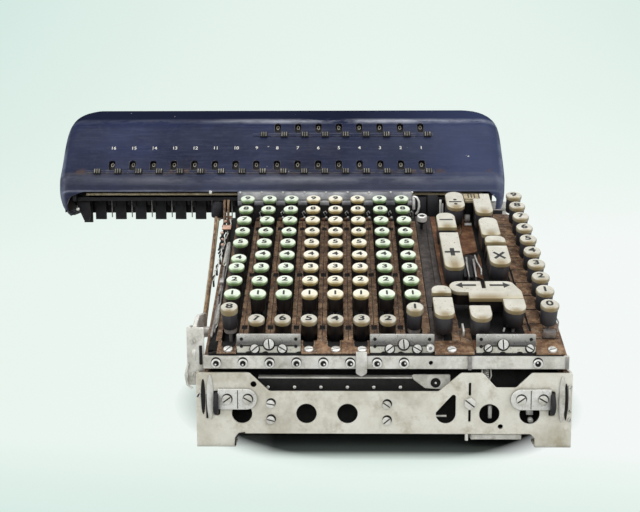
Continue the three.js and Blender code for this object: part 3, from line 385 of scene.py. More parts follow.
class Nodes:
    """A short way to write a material's nodes"""

    def __init__(self, name):
        self.material = bpy.data.materials.new(name)
        self.material.use_nodes = True
        self.tree = self.material.node_tree
        self.shader = self.tree.nodes["Principled BSDF"]
        self.place = self.new("ShaderNodeTexCoord").outputs["Object"]

    def new(self, kind, **settings):
        node = self.tree.nodes.new(kind)
        for key, value in settings.items():
            setattr(node, key, value)
        return node

    def link(self, source, target):
        self.tree.links.new(source, target)

    def value(self, source, target):
        """Puts a socket or a plain value into a socket"""
        if isinstance(source, bpy.types.NodeSocket):
            self.link(source, target)
        else:
            target.default_value = source

    def noise(self, scale, detail=5, roughness=0.6, stretch=None, offset=0):
        """Noise of so many periods in a metre"""
        place = self.place
        if stretch or offset:
            mapping = self.new("ShaderNodeMapping")
            mapping.inputs["Scale"].default_value = stretch or (1, 1, 1)
            mapping.inputs["Location"].default_value = (offset, offset * 0.7, offset * 1.3)
            self.link(place, mapping.inputs["Vector"])
            place = mapping.outputs["Vector"]
        node = self.new("ShaderNodeTexNoise")
        node.inputs["Scale"].default_value = scale
        node.inputs["Detail"].default_value = detail
        node.inputs["Roughness"].default_value = roughness
        self.link(place, node.inputs["Vector"])
        return node.outputs["Fac"]

    def ramp(self, source, stops):
        node = self.new("ShaderNodeValToRGB")
        elements = node.color_ramp.elements
        while len(elements) < len(stops):
            elements.new(0.5)
        for element, (position, colour) in zip(elements, stops):
            element.position = position
            element.color = linear(colour) if isinstance(colour, str) else (colour, colour, colour, 1)
        self.link(source, node.inputs["Fac"])
        return node.outputs["Color"]

    def mix(self, factor, first, second):
        node = self.new("ShaderNodeMix", data_type="RGBA")
        self.value(factor, node.inputs["Factor"])
        for source, socket in ((first, node.inputs["A"]), (second, node.inputs["B"])):
            self.value(linear(source) if isinstance(source, str) else source, socket)
        return node.outputs["Result"]

    def maths(self, operation, first, second=0.5):
        node = self.new("ShaderNodeMath", operation=operation)
        self.value(first, node.inputs[0])
        self.value(second, node.inputs[1])
        return node.outputs[0]

    def vector(self, operation, first, second=(0, 0, 0)):
        node = self.new("ShaderNodeVectorMath", operation=operation)
        self.value(first, node.inputs[0])
        self.value(second, node.inputs[1])
        return node.outputs["Value" if operation in ("DOT_PRODUCT", "LENGTH") else "Vector"]

    def times(self, first, second):
        return self.maths("MULTIPLY", first, second)

    def away(self, source, middle):
        """How far a value lies from a middle, on either side"""
        return self.maths("ABSOLUTE", self.maths("SUBTRACT", source, middle))

    def spread(self, source, low, high, to_low=0.0, to_high=1.0):
        node = self.new("ShaderNodeMapRange")
        self.value(source, node.inputs["Value"])
        for name, number in (("From Min", low), ("From Max", high), ("To Min", to_low), ("To Max", to_high)):
            node.inputs[name].default_value = number
        return node.outputs["Result"]

    def height(self, frame_matrix):
        """How far a point lies along a frame's Z, in millimetres"""
        turn = frame_matrix.inverted()
        return self.maths("ADD", self.vector("DOT_PRODUCT", self.place, turn[2][:3]), turn[2][3])

    def edges(self, radius):
        """One near sharp edges and nought on flat faces"""
        bevel = self.new("ShaderNodeBevel", samples=4)
        bevel.inputs["Radius"].default_value = radius * 0.001
        flat = self.new("ShaderNodeNewGeometry").outputs["Normal"]
        return self.spread(self.vector("DOT_PRODUCT", bevel.outputs["Normal"], flat), 0.99, 0.82)

    def hollows(self, distance, samples=4):
        """One in corners and gaps, nought in the open"""
        node = self.new("ShaderNodeAmbientOcclusion", samples=samples)
        node.inputs["Distance"].default_value = distance * 0.001
        return self.spread(node.outputs["AO"], 0.85, 0.25)

    def bump(self, source, strength, distance=0.0003):
        node = self.new("ShaderNodeBump")
        node.inputs["Strength"].default_value = strength
        node.inputs["Distance"].default_value = distance
        self.link(source, node.inputs["Height"])
        return node.outputs["Normal"]

    def done(self, colour, rough, normal, metallic=0, coat=0, specular=0.5):
        self.link(colour, self.shader.inputs["Base Color"])
        self.value(rough, self.shader.inputs["Roughness"])
        self.link(normal, self.shader.inputs["Normal"])
        self.value(metallic, self.shader.inputs["Metallic"])
        self.shader.inputs["Coat Weight"].default_value = coat
        self.shader.inputs["Coat Roughness"].default_value = 0.12
        self.shader.inputs["Specular IOR Level"].default_value = specular
        return self.material


def metal(name, stops, stain, stain_amount=0.5, patch=45, grain=700, stretch=(1, 1, 1), rough=(0.3, 0.5),
        bump=0.15, metallic=0.9, wear=None, grime_and_shade="1c1712", grime_and_shade_amount=0.6, smoke=None, painted_light_bands=None):
    """Bare or plated metal with cloudy patches, stains, dirt and painted shade in corners, and rubbed edges;
    given height stripes, painted reflection and shade graded by height
    """
    n = Nodes(name)
    cloud = n.noise(patch, 6, 0.65)
    colour = n.ramp(cloud, stops)
    # Given height stripes, the colour is graded by height: painted reflection and shade
    if painted_light_bands:
        low, high, painted_light_colours = painted_light_bands
        colour = n.mix(0.9, colour, n.ramp(n.spread(n.height(DATUM), low, high), painted_light_colours))
    if smoke:
        haze = n.noise(patch * 0.55, 6, 0.7, offset=11.3)
        colour = n.mix(n.spread(haze, 0.5, 0.7, 0, 0.6), colour, smoke)
    spots = n.spread(n.noise(patch * 2.3, 7, 0.7, offset=3.1), 0.52, 0.68)
    colour = n.mix(n.times(spots, stain_amount), colour, stain)
    fine = n.noise(grain, 4, 0.6, stretch)
    colour = n.mix(n.spread(fine, 0.35, 0.7, 0, 0.18), colour, stops[0][1])
    # Dark colour in corners and gaps from the hollows: partly dirt, partly painted shade
    if grime_and_shade_amount:
        colour = n.mix(n.times(n.hollows(5), grime_and_shade_amount), colour, grime_and_shade)
    if wear:
        rub = n.times(n.edges(0.5), n.spread(n.noise(260, 3), 0.35, 0.6))
        colour = n.mix(rub, colour, wear)
    roughness = n.spread(n.noise(patch * 3, 5, 0.6, offset=7.7), 0.3, 0.7, *rough)
    return n.done(colour, roughness, n.bump(fine, bump), metallic)


def plastic(name, stops, rough=(0.35, 0.5), patch=90, grime_and_shade="3a3326", grime_and_shade_amount=0.5, coat=0.15,
        painted_shade_tint=None, shade=None, side=None, specks=None, painted_shade_below=None):
    """Moulded or turned key plastic with yellowing, fine scratches, and dirt and painted shade in hollows;
    on caps, painted shade on the front, at the front middle and on the sides, and on barrels, painted shade
    towards the foot
    """
    n = Nodes(name)
    colour = n.ramp(n.noise(patch, 5, 0.6), stops)
    if painted_shade_tint:
        uv = n.new("ShaderNodeUVMap", uv_map="unit").outputs["UV"]
        split = n.new("ShaderNodeSeparateXYZ")
        n.link(uv, split.inputs["Vector"])
        across = n.away(split.outputs["X"], 0.5)
        # The front of a cap's top and its left and right edges painted darker, as shade
        colour = n.mix(n.spread(split.outputs["Y"], *painted_shade_tint[1], 0, 0.85), colour, painted_shade_tint[0])
        colour = n.mix(n.spread(across, 0.46, 0.5, 0, 0.5), colour, painted_shade_tint[0])
        # A dark spot painted at the front middle of a cap, as shade
        front = n.spread(split.outputs["Y"], 0.36, 0.1)
        middle = n.spread(across, 0.34, 0.1)
        colour = n.mix(n.times(n.times(front, middle), 0.8), colour, shade)
        # Faces that turn away from the keys' upward direction painted darker: painted shade on the cap's
        # sides
        upwards = KEYBOARD.to_quaternion() @ Vector((0, 0, 1))
        facing = n.vector("DOT_PRODUCT", n.new("ShaderNodeNewGeometry").outputs["Normal"], upwards)
        colour = n.mix(n.spread(facing, 0.75, 0.25, 0, 0.75), colour, side)
    # Painted shade: a barrel darkens towards its foot
    if painted_shade_below:
        low, high, dark = painted_shade_below
        colour = n.mix(n.spread(n.height(KEYBOARD), high, low, 0, 0.92), colour, dark)
    if specks:
        colour = n.mix(n.spread(n.noise(700, 3, 0.5), 0.66, 0.7), colour, specks)
    # Dark colour in corners and gaps from the hollows: partly dirt, partly painted shade
    colour = n.mix(n.times(n.hollows(3), grime_and_shade_amount), colour, grime_and_shade)
    fine = n.noise(1500, 3, 0.6, (1, 3, 1))
    roughness = n.spread(n.noise(patch * 4, 4), 0.3, 0.7, *rough)
    return n.done(colour, roughness, n.bump(fine, 0.08, 0.0001), coat=coat)


def enamel(name):
    """Blue-black enamel with pale highlights painted along its folds and ends and its top painted darker as
    a dim reflection; paler towards its right end, with level scratches, rust, chips and rubbed edges
    """
    n = Nodes(name)
    colour = n.ramp(n.noise(13, 5, 0.6), [(0.3, "161b30"), (0.5, "1f2642"), (0.72, "2b3456")])
    streaks = n.noise(520, 5, 0.7, (0.06, 1, 1))
    colour = n.mix(n.spread(streaks, 0.5, 0.78, 0, 0.22), colour, "5f6888")
    mottle = n.spread(n.noise(210, 6, 0.75, (0.5, 1, 1), 2.2), 0.5, 0.75, 0, 0.4)
    colour = n.mix(mottle, colour, "454a60")
    rise = n.height(COVER_FACE @ spin(-90, "X"))
    across = n.height(DATUM @ spin(90, "Y"))
    cloud = n.spread(n.noise(60, 6, 0.7, (0.25, 1, 1), 5.0), 0.36, 0.62)
    # The top painted darker: a painted dim reflection
    colour = n.mix(n.spread(rise, 57, 62, 0, 0.85), colour, "1e2132")
    # Pale and greyish bands along the two folds, just above the lower fold and at the lip's lower edge,
    # broken by cloudy noise: painted highlights
    everywhere = (-300, -299, 1, 1)
    for centre, half, pale, amount, reach in (
        (-3, 5, "9a9da8", 0.55, (-235, -60, 0.35, 1)),
        (58.5, 3.6, "c9ccd6", 0.95, (-120, 0, 0.15, 1)),
        (-12.4, 1.4, "9aa0b4", 0.55, everywhere),
        (2.5, 2.4, "77716c", 0.45, everywhere),
    ):
        near = n.spread(n.away(rise, centre), half, 0)
        amount = n.spread(across, reach[0], reach[1], reach[2] * amount, reach[3] * amount)
        colour = n.mix(n.times(n.times(near, cloud), amount), colour, pale)
    colour = n.mix(n.spread(across, 20, 165, 0, 0.45), colour, "4a5679")
    # Pale light painted near the two ends: painted highlights
    for centre, half in ((-243.5, 4), (163, 4)):
        near = n.spread(n.away(across, centre), half, 0, 0, 0.6)
        colour = n.mix(n.times(near, cloud), colour, "98a2bc")
    spots = n.spread(n.noise(55, 5, 0.6, (1, 1, 1), 4.1), 0.56, 0.64)
    rust = n.times(n.spread(n.away(rise, 5), 4, 0), spots)
    colour = n.mix(n.times(rust, 0.7), colour, "5b4638")
    chips = n.spread(n.noise(150, 4, 0.6, (1, 1, 1), 9.4), 0.735, 0.75)
    colour = n.mix(chips, colour, "d9d8d4")
    rub = n.times(n.edges(0.6), n.spread(n.noise(180, 3), 0.4, 0.6))
    colour = n.mix(n.times(rub, 0.7), colour, "9a948a")
    n.link(n.spread(rise, 50, 58, 0.35, 0), n.shader.inputs["Specular IOR Level"])
    roughness = n.spread(n.noise(40, 5, 0.6, (0.3, 1, 1), 1.3), 0.3, 0.7, 0.24, 0.44)
    return n.done(colour, roughness, n.bump(streaks, 0.06, 0.0002))


NICKEL = metal("nickel", [(0.3, "c6c4b9"), (0.5, "efeee6"), (0.7, "fbfaf7")], "7d7460", 0.45,
    rough=(0.32, 0.52), metallic=0.3, smoke="8f8b84")
PLATE = metal("plate_nickel", [(0.25, "cdc8b6"), (0.5, "eae8dc"), (0.75, "f7f6ef")], "9a8a62", 0.45, 34,
    900, (1, 8, 1), (0.45, 0.62), 0.1, 0.12, smoke="a39a83")
BRIGHT = metal("bright_nickel", [(0.3, "e4e3dc"), (0.6, "fbfbf8")], "a59a86", 0.3, 90, rough=(0.22, 0.4),
    metallic=0.3, smoke="a8a59e")
# The latch plates are graded by height, pale below the slit, dark at it and grey above, paling to the top
# edge: painted reflection and shade
LATCH = metal("latch_nickel", [(0.3, "c9c8c0"), (0.6, "ecece6")], "a59a86", 0.3, 90, rough=(0.22, 0.4),
    metallic=0.4, smoke="8f8b84", painted_light_bands=(66, 82, [(0, "ebe9dc"), (0.42, "e6e4d6"), (0.46, "1c1c1e"),
    (0.64, "47464a"), (0.92, "d6d6d1")]))
BROWN = metal("brown_steel", [(0.3, "3d2a1e"), (0.45, "705038"), (0.58, "9a7858"), (0.75, "c4a684")],
    "d3c2aa", 0.5, 150, 900, rough=(0.5, 0.75), bump=0.6, metallic=0.15, wear="d6c6b2", grime_and_shade_amount=0.85,
    smoke="4e3626")
RUST = metal("rusty_steel", [(0.3, "4a2e1f"), (0.55, "825638"), (0.75, "b5906c")], "6e6252", 0.5, 120, 900,
    rough=(0.6, 0.8), bump=0.5, metallic=0.2, wear="b9a08a")
DARK = metal("dark_plate", [(0.3, "2f2a29"), (0.5, "4b4441"), (0.72, "6d645f")], "231d1b", 0.5, 160, 1400,
    rough=(0.5, 0.7), bump=0.5, metallic=0.3, wear="9a9088")
BLACK = metal("black_steel", [(0.3, "0d0e11"), (0.55, "1b1c21"), (0.8, "2d2e34")], "2a211a", 0.4, 70, 800,
    rough=(0.4, 0.62), metallic=0.4, wear="5c5650", grime_and_shade="060505")
# Near black that stands for shade: painted shade in gaps, channels, holes, slot floors and behind openings
SHADE_BLACK = metal("painted_shade_black", [(0.3, "060505"), (0.7, "110e0e")], "1a120d", 0.4, 90, rough=(0.6, 0.8),
    metallic=0.1)
LINK = metal("link_steel", [(0.3, "7e7b78"), (0.5, "a5a2a0"), (0.7, "c9c7c2")], "7b5a40", 0.5, 120,
    rough=(0.35, 0.55), metallic=0.6)
BLUED = metal("blued_nickel", [(0.3, "6f7178"), (0.5, "a2a3a6"), (0.7, "d2d2d0")], "6f6a68", 0.35, 60,
    rough=(0.3, 0.5), metallic=0.5, smoke="6d6f7c")
COPPER = metal("copper_steel", [(0.3, "a4765e"), (0.5, "d8b09a"), (0.7, "ecd3c2")], "7b5040", 0.4, 150,
    metallic=0.4)
BEIGE = metal("beige_rod", [(0.3, "8f8061"), (0.5, "bcae8e"), (0.7, "d6cdb4")], "6d5136", 0.5, 160, 900,
    rough=(0.5, 0.7), bump=0.4, metallic=0.1, wear="e6dec8")
MOTOR_PAINT = metal("motor_paint", [(0.3, "202325"), (0.6, "303436")], "4a4038", 0.3, 60, metallic=0.1,
    rough=(0.45, 0.65), wear="77716a")
ENAMEL = enamel("navy_enamel")
# The caps' second, third and fourth colours are painted shade: on the front, at the front middle and on the
# sides of each cap
GREEN = plastic("green_key", [(0.3, "e2eed8"), (0.5, "e9f3e1"), (0.7, "f0f7eb")],
    painted_shade_tint=("b7d596", (0.42, 0.02)), shade="33521f", side="5d7a44")
CREAM = plastic("cream_key", [(0.3, "f1ebd2"), (0.5, "f4f0df"), (0.7, "f6f4e8")],
    painted_shade_tint=("e1d193", (0.42, 0.02)), shade="7a6526", side="8f7a44")
IVORY = plastic("ivory_key", [(0.25, "bfbcae"), (0.5, "cfccbe"), (0.72, "dbd8cc")],
    painted_shade_tint=("cdc3a2", (0.22, 0.0)), shade="8a7345", side="8d7d58", specks="8d7a58")
# The barrels below darken towards the foot as painted shade
BARREL = plastic("key_barrel", [(0.3, "161314"), (0.6, "262120"), (0.8, "38302a")], (0.28, 0.5),
    grime_and_shade="0a0908", coat=0.1, painted_shade_below=(-14, -3, "0d0b0b"))
GREY_BARREL = plastic("grey_barrel", [(0.3, "3f3e43"), (0.6, "504e53"), (0.8, "625d5a")], (0.35, 0.55),
    grime_and_shade="1b1816", painted_shade_below=(-14, 1, "0e0e10"))
# Dark rust-brown for the liner inside the cover
DARK_RUST = metal("dark_rust", [(0.3, "17110f"), (0.55, "2d1f19"), (0.75, "4d3428")], "5a3a28", 0.5, 160,
    900, rough=(0.6, 0.8), bump=0.5, metallic=0.1)
NUMBER = plastic("cover_number", [(0.3, "d3d0c6"), (0.7, "f0eee6")], (0.4, 0.6), coat=0)
INK = plastic("ink", [(0.3, "0b0b0c"), (0.7, "1a1918")], (0.4, 0.6), coat=0)
DIAL = plastic("dial_black", [(0.3, "050404"), (0.7, "0c0a09")], (0.5, 0.65), coat=0)
FIGURE = plastic("dial_figure", [(0.3, "8f897b"), (0.7, "cfc9b9")], (0.4, 0.6), coat=0)
RUBBER = plastic("black_rubber", [(0.3, "17171a"), (0.7, "29292d")], (0.6, 0.8), coat=0)
MARKER = metal("marker_steel", [(0.3, "4b4a46"), (0.55, "86847d"), (0.75, "cfcdc6")], "5b4636", 0.4, 200,
    rough=(0.4, 0.6), metallic=0.4)

# The finish of the part that each look stands for
FINISHES = {
    "nickel_plate": (NICKEL, PLATE, BRIGHT, LATCH, BLUED, COPPER, MARKER),
    "brown_steel": (BROWN, RUST, DARK, DARK_RUST, BEIGE),
    "black_steel": (BLACK, SHADE_BLACK, INK, BARREL, GREY_BARREL, RUBBER),
    "link_steel": (LINK,),
    "cream_key": (CREAM, IVORY),
    "green_key": (GREEN,),
    "navy_enamel": (ENAMEL,),
    "dial_alloy": (NUMBER, DIAL, FIGURE),
}
SLOTS = {tone.name: slot for slot, tones in FINISHES.items() for tone in tones}

# Keys
DISH = 0.35


def cap_profile(radius, thickness, rim):
    """A turned key cap: rounded rim and a slightly hollow top"""
    return [
        (radius - 0.5, -thickness), (radius - 0.1, -thickness + 0.3), (radius, -thickness + 0.8),
        (radius, -rim), (radius - 0.12 * rim, -0.5 * rim), (radius - 0.42 * rim, -0.14 * rim),
        (radius - rim, 0), (radius - rim - 0.7, -0.05), (radius * 0.5, -DISH * 0.8), (radius * 0.2, -DISH),
    ]


def barrel_profile(low, high, foot, top):
    return [(foot - 0.4, low), (foot, low + 0.4), (foot + (top - foot) * 0.6, (low + high) / 2), (top, high)]


def mark_unit(shape, first, at, half, centre=(0, 0)):
    """Gives the faces made since the first one their place within the cap, from 0 to 1"""
    back = at.inverted()
    shape.mesh.faces.ensure_lookup_table()
    for face in shape.mesh.faces[first:]:
        for loop in face.loops:
            place = back @ loop.vert.co
            across = (place.x - centre[0]) / half[0]
            along = (place.y - centre[1]) / half[1]
            loop[shape.unit].uv = (0.5 + across / 2, 0.5 + along / 2)


def round_cap(shape, at, radius, thickness, rim=0.9):
    first = len(shape.mesh.faces)
    shape.turned(cap_profile(radius, thickness, rim), at, 32)
    mark_unit(shape, first, at, (radius, radius))


DIGIT_RADIUS, DIGIT_HEIGHT = 6.2, 2.6
STEM_FOOT, STEM_TOP = -38.4, -13.8

for column in range(1, 9):
    caps, barrels, figures, stems = shapes(4)
    for row in range(9):
        drop = 3.5 if (column, row) == (8, 3) else 0
        lean = spin(random.Random(column * 10 + row).uniform(-1.2, 1.2), "Y")
        at = on_keys(column_x(column), row * PITCH, -drop) @ lean
        round_cap(caps, at, DIGIT_RADIUS, DIGIT_HEIGHT)
        barrels.turned(barrel_profile(-14 + drop, -DIGIT_HEIGHT, 5.4, 5.75), at, 24)
        figures.text(str(row + 1), 7.2, at @ shifted(0, 1.1, -0.2), 0.16, 0.14, 1.3)
        stems.box((-1, 1), (row * PITCH - 3, row * PITCH + 3), (STEM_FOOT, STEM_TOP),
            on_keys(column_x(column), 0), 0.2)
    stems.box((-1, 1), (-3, LAST_ROW + 3), (-43.2, -38.2), on_keys(column_x(column), 0), 0.3)
    body = f"digit_bank_{column}"
    tone = GREEN if column in (1, 2, 6, 7, 8) else CREAM
    pieces(body, {"caps": (caps, tone), "barrels": (barrels, BARREL)}, [body], body)
    figures.piece(f"{body}_figures", INK, body=body)
    stems.piece(f"{body}_stems", BLACK, [body], body)


def round_key(name, label, x, along, top, cap, barrel, materials, size, low):
    """A key of its own, with its cap, barrel, figure and stem"""
    at = on_keys(x, along, top)
    (cap_radius, cap_height), (barrel_radius, barrel_height) = cap, barrel
    cap_tone, barrel_tone = materials
    foot = -cap_height - barrel_height
    parts = shapes(4)
    round_cap(parts[0], at, cap_radius, cap_height, 1.1)
    parts[1].turned(barrel_profile(foot, -cap_height, barrel_radius - 0.2, barrel_radius), at, 28)
    parts[2].text(label, size, at @ shifted(0, 0.9, -0.2), 0.2, 0.14, 1.25)
    parts[3].box((-1, 1), (-3, 3), (low - top, foot + 0.5), at, 0.2)
    tones = (cap_tone, barrel_tone, INK, LINK)
    for part, tone, ending in zip(parts, tones, ("cap", "barrel", "figure", "stem")):
        part.piece(f"{name}_{ending}", tone, [] if ending == "figure" else [name], name)


COLUMN_KEYS = -22.5
MULTIPLIER_X = FIELD_EDGE + 87.3

for column in range(1, 9):
    tall = column in (1, 8)
    top = 3 if tall else -7.3
    cap_height = 5 if tall else 3.4
    tone = GREY_BARREL if tall else BARREL
    round_key(f"column_key_{column}", str(column), column_x(column), COLUMN_KEYS, top,
        (DIGIT_RADIUS, cap_height), (5.6 if tall else 5.7, 17.5 - cap_height), (IVORY, tone), 8.6, -38.2)

sleeves = Shape()
for column in (1, 8):
    sleeves.turned([(4.4, -18.5), (4.7, -18.1), (4.7, -14.8), (5.1, -14.3)],
        on_keys(column_x(column), COLUMN_KEYS), 24)
sleeves.box((MULTIPLIER_X - 4.4, MULTIPLIER_X + 4.4), (-29.6, -25.9), (-20, -13.8), KEYBOARD, 0.5)
sleeves.piece("key_sleeves", LINK)

for digit in range(10):
    round_key(f"multiplier_key_{digit}", str(digit), MULTIPLIER_X, (digit - 1) * PITCH, 3.3, (6.7, 3.5),
        (6.1, 12.7), (IVORY, GREY_BARREL), 8.8, -33)

# Function keys: X from the edge of the digit field, along, front and rear radii, top
FUNCTION_KEYS = {
    "divide_key": ((28.3, 43.7), (131, 161.8), (7.6, 7.6), 1.5),
    "clear_key": ((51.4, 66.4), (122.2, 158.4), (7.3, 1.5), 1.5),
    "minus_key": ((17.4, 32.8), (97.6, 123.2), (0.8, 7), 1.5),
    "plus_key": ((17.4, 32.8), (34, 89.4), (6, 0.8), 1.5),
    "entry_key": ((51.7, 67), (85, 114.9), (3, 6.5), 1.5),
    "repeat_key": ((53, 69.2), (73.2, 84), (0.8, 6), 1.5),
    "times_key": ((53, 69.2), (39, 67.8), (7, 0.8), 1.5),
    "unlock_key": ((4.2, 18.6), (-1.8, 8.7), (0.8, 6.3), 1.5),
    "lock_key": ((4.2, 18.6), (-32, -7.4), (6, 0.8), 1.5),
    "middle_dial_key": ((29.8, 45.2), (-34.4, -16.5), (7.4, 1), 0.3),
    "upper_dial_key": ((55.3, 70.9), (-24.6, -7.6), (7.6, 1), 0.3),
}
CAP = 3.5
BARREL_FOOT = -15.5
CLEAR_STEP = (57.8, 149)


def function_outline(name, shrink):
    (x0, x1), (y0, y1), (front, rear), _ = FUNCTION_KEYS[name]
    if name == "clear_key":
        step_x, step_y = CLEAR_STEP
        corner = [(x1, y1), (step_x, y1), (step_x, step_y), (x0, step_y), (x0, y0), (x1, y0)]
        return inset(filleted(corner, [1.5, 1.5, 1, 2, 7.3, 7.3]), shrink)
    return rectangle(x0 + shrink, x1 - shrink, y0 + shrink, y1 - shrink, max(front - shrink, 0.3),
        max(rear - shrink, 0.3), 8)


def bar_mark(shape, at, width, height):
    shape.slab(rectangle(-width / 2, width / 2, -height / 2, height / 2, 0.2), 0, 0.08, at, 0)


def sign_marks(shape, name, at, x, y):
    """The sign of arithmetic on a function key"""
    def place(dx, dy, turn=0):
        return at @ shifted(x + dx, y + dy, 0.02) @ spin(turn)
    if name == "divide_key":
        bar_mark(shape, place(0, 0), 10.5, 1.9)
        for dy in (-3.8, 3.8):
            shape.slab(circle(0, 0, 1.5, 14), 0, 0.08, place(0, dy), 0)
    if name == "minus_key":
        bar_mark(shape, place(0, 0), 11, 1.8)
    if name == "plus_key":
        bar_mark(shape, place(0, 0), 12, 2.4)
        bar_mark(shape, place(0, 0, 90), 11.5, 3.4)
    if name == "times_key":
        bar_mark(shape, place(0, 0, 50), 12.5, 2.2)
        bar_mark(shape, place(0, 0, -50), 12.5, 2.2)


SIGN_PLACES = {"divide_key": 142.9, "minus_key": 110.8, "plus_key": 57.7, "times_key": 52.4}

for name, ((x0, x1), (y0, y1), _, top) in FUNCTION_KEYS.items():
    at = on_keys(FIELD_EDGE, 0, top)
    cap, barrel, marks, stem = shapes(4)
    middle = ((x0 + x1) / 2, (y0 + y1) / 2)
    cap.slab(function_outline(name, 0), -CAP, 0, at, 0.6, 4)
    mark_unit(cap, 0, at, ((x1 - x0) / 2, (y1 - y0) / 2), middle)
    foot = BARREL_FOOT - top
    barrel.slab(function_outline(name, 0.9), foot, -CAP + 0.3, at, 0.3, 2)
    stem_at = at @ shifted(*middle, 0)
    stem.box((-1, 1), (-3, 3), (-33 - top, foot + 0.2), stem_at, 0.2)
    pieces(name, {
        "cap": (cap, IVORY), "barrel": (barrel, GREY_BARREL),
        "stem": (stem, LINK),
    }, [name], name)
    if name in SIGN_PLACES:
        sign_marks(marks, name, at, middle[0], SIGN_PLACES[name])
        marks.piece(f"{name}_sign", INK, body=name)

# The carriage shift rocker, about its own stem
ROCKER_AT = on_keys(FIELD_EDGE + 44.1, 8, -1.5)


def rocker_outline(shrink):
    left, body_left, right = -25.7 + shrink, -12.3 + shrink, 27.3 - shrink
    front, lobe_front, rear = -12.6 + shrink, -3.8 + shrink, 11.4 - shrink
    radius = (rear - lobe_front) / 2
    notch = 1.5 + shrink
    bottom = 1.5 - shrink
    return [
        (body_left, front), (right, front), *arc(right - 9, lobe_front - 0.5, 9, 0, 38, 6),
        *arc(right - 10, rear - 6, 6, 20, 90, 8),
        (notch, rear), (notch, bottom), (-notch, bottom), (-notch, rear),
        *arc(left + radius, rear - radius, radius, 90, 270, 16), (body_left, lobe_front),
    ]


cap, barrel, marks, stem = shapes(4)
cap.slab(rocker_outline(0), -CAP, 0, ROCKER_AT, 0.6, 3)
mark_unit(cap, 0, ROCKER_AT, (26.5, 12), (0.8, -0.6))
barrel.slab(rocker_outline(0.9), -CAP - 9, -CAP + 0.3, ROCKER_AT, 0.3, 1)
stem.box((-4, 4), (-1, 1), (-31.5, -CAP - 8.8), ROCKER_AT, 0.2)
for side, reach in ((-1, -12.6), (1, 11.5)):
    arrow = ROCKER_AT @ shifted(reach, 5.4, 0.02)
    bar_mark(marks, arrow @ shifted(-side * 1.5, 0, 0), 11, 2.2)
    head = [(side * 8.4, 0), (side * 3.2, 3.9), (side * 3.2, -3.9)]
    marks.slab(head if side > 0 else head[::-1], 0, 0.08, arrow, 0)
pieces("shift_rocker", {
    "cap": (cap, IVORY), "skirt": (barrel, BARREL),
    "stem": (stem, LINK),
}, ["shift_rocker"], "shift_rocker")
marks.piece("shift_rocker_arrows", INK, body="shift_rocker")

# The small round button
button, centre, stem = shapes(3)
BUTTON_AT = on_keys(FIELD_EDGE + 7.4, 136, -8)
button.turned([(3.6, -5), (4.4, -4.6), (4.4, -1.2), (4.1, -0.4), (3.4, 0), (2.6, 0), (2.2, -0.5),
    (0.8, -0.6)], BUTTON_AT, 28)
centre.turned([(1.9, -0.7), (1.9, -0.2), (1.5, 0), (0.5, 0)], BUTTON_AT, 20)
stem.box((-1, 1), (-3, 3), (-25, -4.8), BUTTON_AT, 0.2)
stem.turned([(3, -7.4), (3.3, -7), (3.3, -4.9)], BUTTON_AT, 24)
button.piece("release_button_cap", BRIGHT, ["release_button"], "release_button", slot="cream_key")
centre.piece("release_button_centre", INK, body="release_button")
stem.piece("release_button_stem", BLACK, ["release_button"], "release_button", slot="link_steel")

# Digit deck: a tray painted black as the shade in its channels, with brown strips on the ribs between the
# channels
DECK_TOP = -20
DECK_FLOOR = -34.2
DECK_FRONT = -42.5
DECK_LEFT, DECK_SPLIT = -81.2, 78.9
# Half widths of a channel, of the slot in its floor and of its mouth at the front
CHANNEL, SLOT, MOUTH = 6.1, 1.35, 5.4
# Thickness of the brown strips, and where the one across the front ends
STRIP = 1.2
CROSS_END = -31.9
tray, strips, pins, knobs = shapes(4)
rib_edges = [DECK_LEFT]
for column in range(8, 0, -1):
    rib_edges += [column_x(column) - CHANNEL, column_x(column) + CHANNEL]
rib_edges.append(DECK_SPLIT)
for column in range(9):
    x0, x1 = rib_edges[2 * column], rib_edges[2 * column + 1]
    tray.box((x0, x1), (DECK_FRONT, 156), (DECK_FLOOR, DECK_TOP - 1.1), KEYBOARD, 0.2)
    slot_left = -1e3 if column == 0 else column_x(9 - column) + SLOT
    slot_right = 1e3 if column == 8 else column_x(8 - column) - SLOT
    tray.box((max(slot_left, DECK_LEFT), min(slot_right, DECK_SPLIT)), (-42.4, 159.8),
        (DECK_FLOOR, DECK_FLOOR + 2.2), KEYBOARD, 0.1)
tray.box((DECK_LEFT, DECK_SPLIT), (DECK_FRONT, -32), (DECK_FLOOR, DECK_TOP - 1.1), KEYBOARD, 0.2)
tray.piece("digit_deck_tray", SHADE_BLACK, ["digit_deck"])

HOLES = [(y - 2.75, y + 2.75) for y in (-15.2, 58.4, 134)]
STRIP_END = 148
NOTCH = 0.8


def notched(x0, x1, y0, y1, side, rng):
    """A strip with small notches along one side, one for each half row"""
    points = [(x0, y0), (x1, y0)]
    notches = []
    y = math.ceil(y0 / (PITCH / 2)) * PITCH / 2
    while y < y1 - 2:
        if y > y0 + 2:
            notches.append(y + rng.uniform(-0.6, 0.6))
        y += PITCH / 2
    steps = [(0, -0.8), (NOTCH, -0.5), (NOTCH, 0.5), (0, 0.8)]
    if side > 0:
        points += [(x1 - d, y + dy) for y in notches for d, dy in steps]
    points += [(x1, y1), (x0, y1)]
    if side < 0:
        points += [(x0 + d, y - dy) for y in notches[::-1] for d, dy in steps]
    return points


